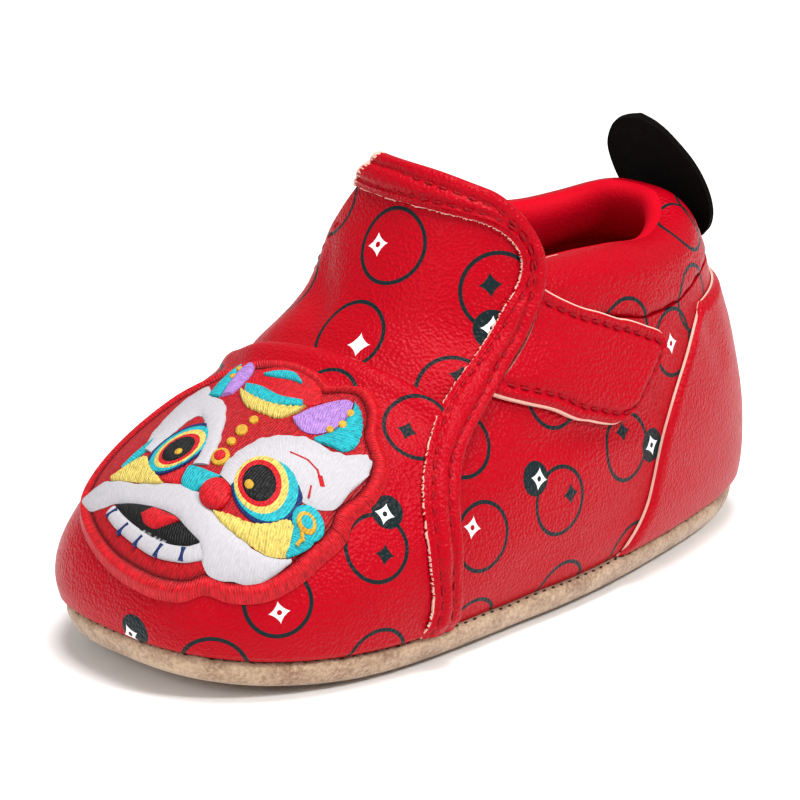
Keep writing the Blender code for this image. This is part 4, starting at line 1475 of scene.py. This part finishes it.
class SHOE_OT_patch(bpy.types.Operator):
    """Builds the embroidered toe patch"""
    bl_idname = "shoe.patch"
    bl_label = "Toe patch"
    field_lift = 1.95
    layer_step = 0.10
    spokes = 420
    border = 2.2
    border_rows = (0.0, 0.2, 26)
    field_rows = (0.25, 0.97, 20)
    border_fade = 0.3
    groove_shade_wide = 0.35
    roll_high = 0.80
    roll_at = 1.0
    roll_wide = 0.72
    dip_deep = 0.2
    dip_wide = 0.3
    edge_lift = 1.35
    edge_span = (0.0, 2.0)
    under_lift = 1.1
    thread_per_degree = 0.36
    fill_points = 64
    fill_rows = 13
    fill_sink = 0.2
    crown_power = 3
    saw_teeth = 17.0
    saw_wave = (0.5, 71.0)
    saw_lower = 0.6
    least_gap = 0.2
    oval_spokes = 48
    oval_shares = (1.0, 1.0, 0.97, 0.88, 0.7, 0.45, 0.15)
    oval_sink = 0.25
    line_crown = 0.25

    def ground(self):
        """The patch's red ground: rings from its lobed outline to its middle. The border is a raised roll
        with a groove inside it, and its thread runs across it."""
        turn = circle(self.spokes)
        angle = np.append(PATCH["angle"], 360.0)
        reach = through(angle, np.append(PATCH["reach"], PATCH["reach"][0]), np.degrees(turn))
        share = np.concatenate([np.linspace(*self.border_rows), np.linspace(*self.field_rows)])[:, None]
        inward = share * reach
        out = reach - inward
        flat = np.stack([out * np.cos(turn), out * np.sin(turn)], axis=-1) + np.array(PATCH_MIDDLE)
        lift = between(self.edge_lift, self.field_lift, smooth(inward, self.edge_span))
        lift = lift + self.roll_high * bell(inward - self.roll_at, self.roll_wide)
        lift = lift - self.dip_deep * bell(inward - self.border, self.dip_wide)
        points = np.concatenate([on_patch(flat[0], self.under_lift + 0.0 * turn)[None], on_patch(flat, lift)])
        rows = len(points)
        wide = np.concatenate([inward[:1], inward])
        bed = np.concatenate([flat[:1], flat])
        across = np.stack([np.degrees(turn) * self.thread_per_degree + 0.0 * wide, wide], axis=-1)
        thread = np.where(wide[..., None] < self.border, across, bed)
        # The border's thread is a lighter red than the field's, and along the groove inside the border the
        # red is darker: painted shade in the groove
        border, field, dark = (np.array(colour(THREADS[name][0])) for name in ("red", "field", "groove"))
        tint = between(border, field, smooth(wide, (self.border - self.border_fade, self.border))[..., None])
        tint = between(tint, dark, bell(wide - self.border, self.groove_shade_wide)[..., None])
        add_piece("patch_ground", points.reshape(-1, 3), grid_quads(rows, self.spokes, round_columns=True),
                  [shared("rayon_satin_stitch", satin_stitch)], ["toe_patch"],
                  caps=end_caps(rows, self.spokes), uv=thread.reshape(-1, 2), tint=tint.reshape(-1, 4))

    def filled(self, rows, layer, crown, ragged):
        """A filled shape between two edge curves, crowned across; thread runs from edge to edge. Ragged edges
        are saw teeth, made uneven by a sine wave."""
        table = named_columns(("upper_a", "upper_b", "lower_a", "lower_b"), rows)
        t = np.linspace(0.0, 1.0, self.fill_points)
        upper = np.stack([along(table, "upper_a", t), along(table, "upper_b", t)], axis=-1)
        lower = np.stack([along(table, "lower_a", t), along(table, "lower_b", t)], axis=-1)
        gap = upper - lower
        wide = np.linalg.norm(gap, axis=-1)
        outwards = gap / np.maximum(wide, self.least_gap)[:, None]
        saw = np.abs((t * self.saw_teeth) % 1.0 - 0.5) * 2.0 + self.saw_wave[0] * np.sin(t * self.saw_wave[1])
        upper = upper + ragged * saw[:, None] * outwards
        lower = lower - ragged * (1.0 - saw)[:, None] * outwards * self.saw_lower
        share = np.linspace(0.0, 1.0, self.fill_rows)[:, None]
        flat = between(lower, upper, share[..., None])
        rise = crown * (1.0 - np.abs(2.0 * share - 1.0) ** self.crown_power) + 0.0 * t
        lift = self.field_lift + self.layer_step * layer + rise
        length = run_length(flat[self.fill_rows // 2])
        thread = np.stack([length + 0.0 * share, share * wide], axis=-1)
        under = on_patch(flat, self.field_lift - self.fill_sink + 0.0 * lift)
        points, faces, _ = wrap_sheet(on_patch(flat, lift), under)
        return points, faces, [], np.tile(thread.reshape(-1, 2), (2, 1))

    def oval(self, a, b, half_long, half_wide, turned, layer, crown):
        """An oval shape: rings round its middle, domed; thread runs up and down."""
        turn = circle(self.oval_spokes)
        share = np.array(self.oval_shares)[:, None]
        c = np.cos(np.radians(turned))
        s = np.sin(np.radians(turned))
        x = share * half_long * np.cos(turn)
        y = share * half_wide * np.sin(turn)
        flat = np.stack([a + x * c - y * s, b + x * s + y * c], axis=-1)
        rise = crown * np.sqrt(np.clip(1.0 - share ** 2, 0.0, 1.0)) + self.layer_step * layer
        rise[0] = -self.oval_sink
        points = on_patch(flat, self.field_lift + rise + 0.0 * turn)
        faces = grid_quads(len(share), self.oval_spokes, round_columns=True)
        return points.reshape(-1, 3), faces, end_caps(len(share), self.oval_spokes), flat.reshape(-1, 2)

    def line(self, a0, b0, a1, b1, half, layer):
        """A line of thread: a narrow filled shape from end to end."""
        run = np.array([a1 - a0, b1 - b0])
        side = np.array([-run[1], run[0]]) / np.linalg.norm(run) * half
        ends = ((a0, b0), ((a0 + a1) / 2.0, (b0 + b1) / 2.0), (a1, b1))
        rows = [(a + side[0], b + side[1], a - side[0], b - side[1]) for a, b in ends]
        return self.filled(rows, layer, self.line_crown, 0.0)

    def execute(self, context):
        self.ground()
        made = []
        for name, layer, crown, ragged, rows in SHAPES:
            made.append((name, self.filled(rows, layer, crown, ragged)))
        for name, layer, crown, a, b, half_long, half_wide, turned in ROUNDS:
            made.append((name, self.oval(a, b, half_long, half_wide, turned, layer, crown)))
        for name, layer, a0, b0, a1, b1, half in LINES:
            made.append((name, self.line(a0, b0, a1, b1, half, layer)))
        points, faces, caps, thread, tint, start = [], [], [], [], [], 0
        for name, (some, quads, ends, laid) in made:
            tone, strength = THREADS[name]
            points.append(some)
            faces.append(quads + start)
            caps += [[k + start for k in end] for end in ends]
            thread.append(laid)
            tint.append(np.broadcast_to((*colour(tone)[:3], strength), (len(some), 4)))
            start += len(some)
        add_piece("patch_embroidery", np.concatenate(points), np.concatenate(faces),
                  [shared("rayon_satin_stitch", satin_stitch)], caps=caps,
                  uv=np.concatenate(thread), tint=np.concatenate(tint), angle=60.0)
        return {"FINISHED"}


class SHOE_OT_stage(bpy.types.Operator):
    """Builds the pale floor, the soft lights and the camera"""
    bl_idname = "shoe.stage"
    bl_label = "Stage"
    floor_tone = "#FAFAFA"
    floor_spokes = 64
    floor_rings = (0.02, 0.3, 1.0, 4.0)
    floor_height = -0.0002
    world_light = 0.36
    lights = (
        ("top_softbox", (0.10, -0.05, 0.95), 0.42, 9.6),
        ("side_softbox", (0.66, 0.10, 0.68), 0.15, 5.2),
        ("front_softbox", (0.10, -0.90, 0.55), 0.35, 3.0),
    )
    lights_aim = (0.0, 0.0, 0.02)
    camera_azimuth = 46.8
    camera_elevation = 18.3
    camera_away = 0.68
    camera_lens = 204.0
    camera_sees = 20.0
    camera_aim = (-0.009, 0.0036, 0.0247)

    def floor(self, scene):
        """A wide round floor just under the sole: rings of points on a plane."""
        turn = circle(self.floor_spokes)
        rings = np.array(self.floor_rings)[:, None]
        level = np.full((len(rings), len(turn)), self.floor_height)
        points = np.stack([rings * np.cos(turn), rings * np.sin(turn), level], axis=-1)
        faces = grid_quads(len(rings), len(turn), round_columns=True)[:, ::-1].tolist()
        mesh = bpy.data.meshes.new("floor")
        mesh.from_pydata(points.reshape(-1, 3).tolist(), [], faces + [list(range(len(turn)))])
        paper = new_material("pale_paper_floor", {"Roughness": 0.7, "Base Color": colour(self.floor_tone)})[0]
        mesh.materials.append(paper)
        floor = bpy.data.objects.new("floor", mesh)
        scene.collection.objects.link(floor)

    def shine(self, scene):
        """An even white surround, and square soft lights turned towards the shoe."""
        scene.world = bpy.data.worlds.new("studio")
        scene.world.use_nodes = True
        surround = scene.world.node_tree.nodes["Background"]
        surround.inputs["Color"].default_value = (1.0, 1.0, 1.0, 1.0)
        surround.inputs["Strength"].default_value = self.world_light
        for name, spot, size, power in self.lights:
            light = bpy.data.lights.new(name, "AREA")
            light.size = size
            light.energy = power
            lamp = bpy.data.objects.new(name, light)
            lamp.location = spot
            lamp.rotation_euler = (Vector(self.lights_aim) - Vector(spot)).to_track_quat("-Z", "Y").to_euler()
            scene.collection.objects.link(lamp)

    def look(self, scene):
        """The camera at the photograph's angle."""
        turn, rise = np.radians([self.camera_azimuth, self.camera_elevation])
        back = Vector((np.sin(turn) * np.cos(rise), -np.cos(turn) * np.cos(rise), np.sin(rise)))
        camera = bpy.data.objects.new("camera", bpy.data.cameras.new("camera"))
        camera.data.lens = self.camera_lens
        camera.data.clip_end = self.camera_sees
        camera.location = Vector(self.camera_aim) + back * self.camera_away
        camera.rotation_euler = (-back).to_track_quat("-Z", "Y").to_euler()
        scene.collection.objects.link(camera)
        scene.camera = camera

    def execute(self, context):
        self.floor(context.scene)
        self.shine(context.scene)
        self.look(context.scene)
        context.scene.view_settings.view_transform = "Standard"
        return {"FINISHED"}


class SHOE_PT_sidebar(bpy.types.Panel):
    """Lists the shoe's sizes, colours and pieces"""
    bl_idname = "SHOE_PT_sidebar"
    bl_label = "Pre-walker shoe"
    bl_space_type = "VIEW_3D"
    bl_region_type = "UI"
    bl_category = "Shoe"

    def draw(self, context):
        for group in (context.scene.shoe_sizes, context.scene.shoe_colours):
            for name in group.__annotations__:
                self.layout.prop(group, name)
        for operator in OPERATORS:
            self.layout.operator(operator.bl_idname)


OPERATORS = (
    SHOE_OT_stage, SHOE_OT_sole, SHOE_OT_upper, SHOE_OT_front, SHOE_OT_band, SHOE_OT_strap, SHOE_OT_heel,
    SHOE_OT_collar, SHOE_OT_patch,
)
CLASSES = (ShoeSizes, ShoeColours, *OPERATORS, SHOE_PT_sidebar)


def register():
    for item in CLASSES:
        bpy.utils.register_class(item)
    bpy.types.Scene.shoe_sizes = bpy.props.PointerProperty(type=ShoeSizes)
    bpy.types.Scene.shoe_colours = bpy.props.PointerProperty(type=ShoeColours)


def unregister():
    del bpy.types.Scene.shoe_colours
    del bpy.types.Scene.shoe_sizes
    for item in reversed(CLASSES):
        bpy.utils.unregister_class(item)


def main():
    register()
    for operator in OPERATORS:
        group, name = operator.bl_idname.split(".")
        getattr(getattr(bpy.ops, group), name)()


if __name__ == "__main__":
    main()
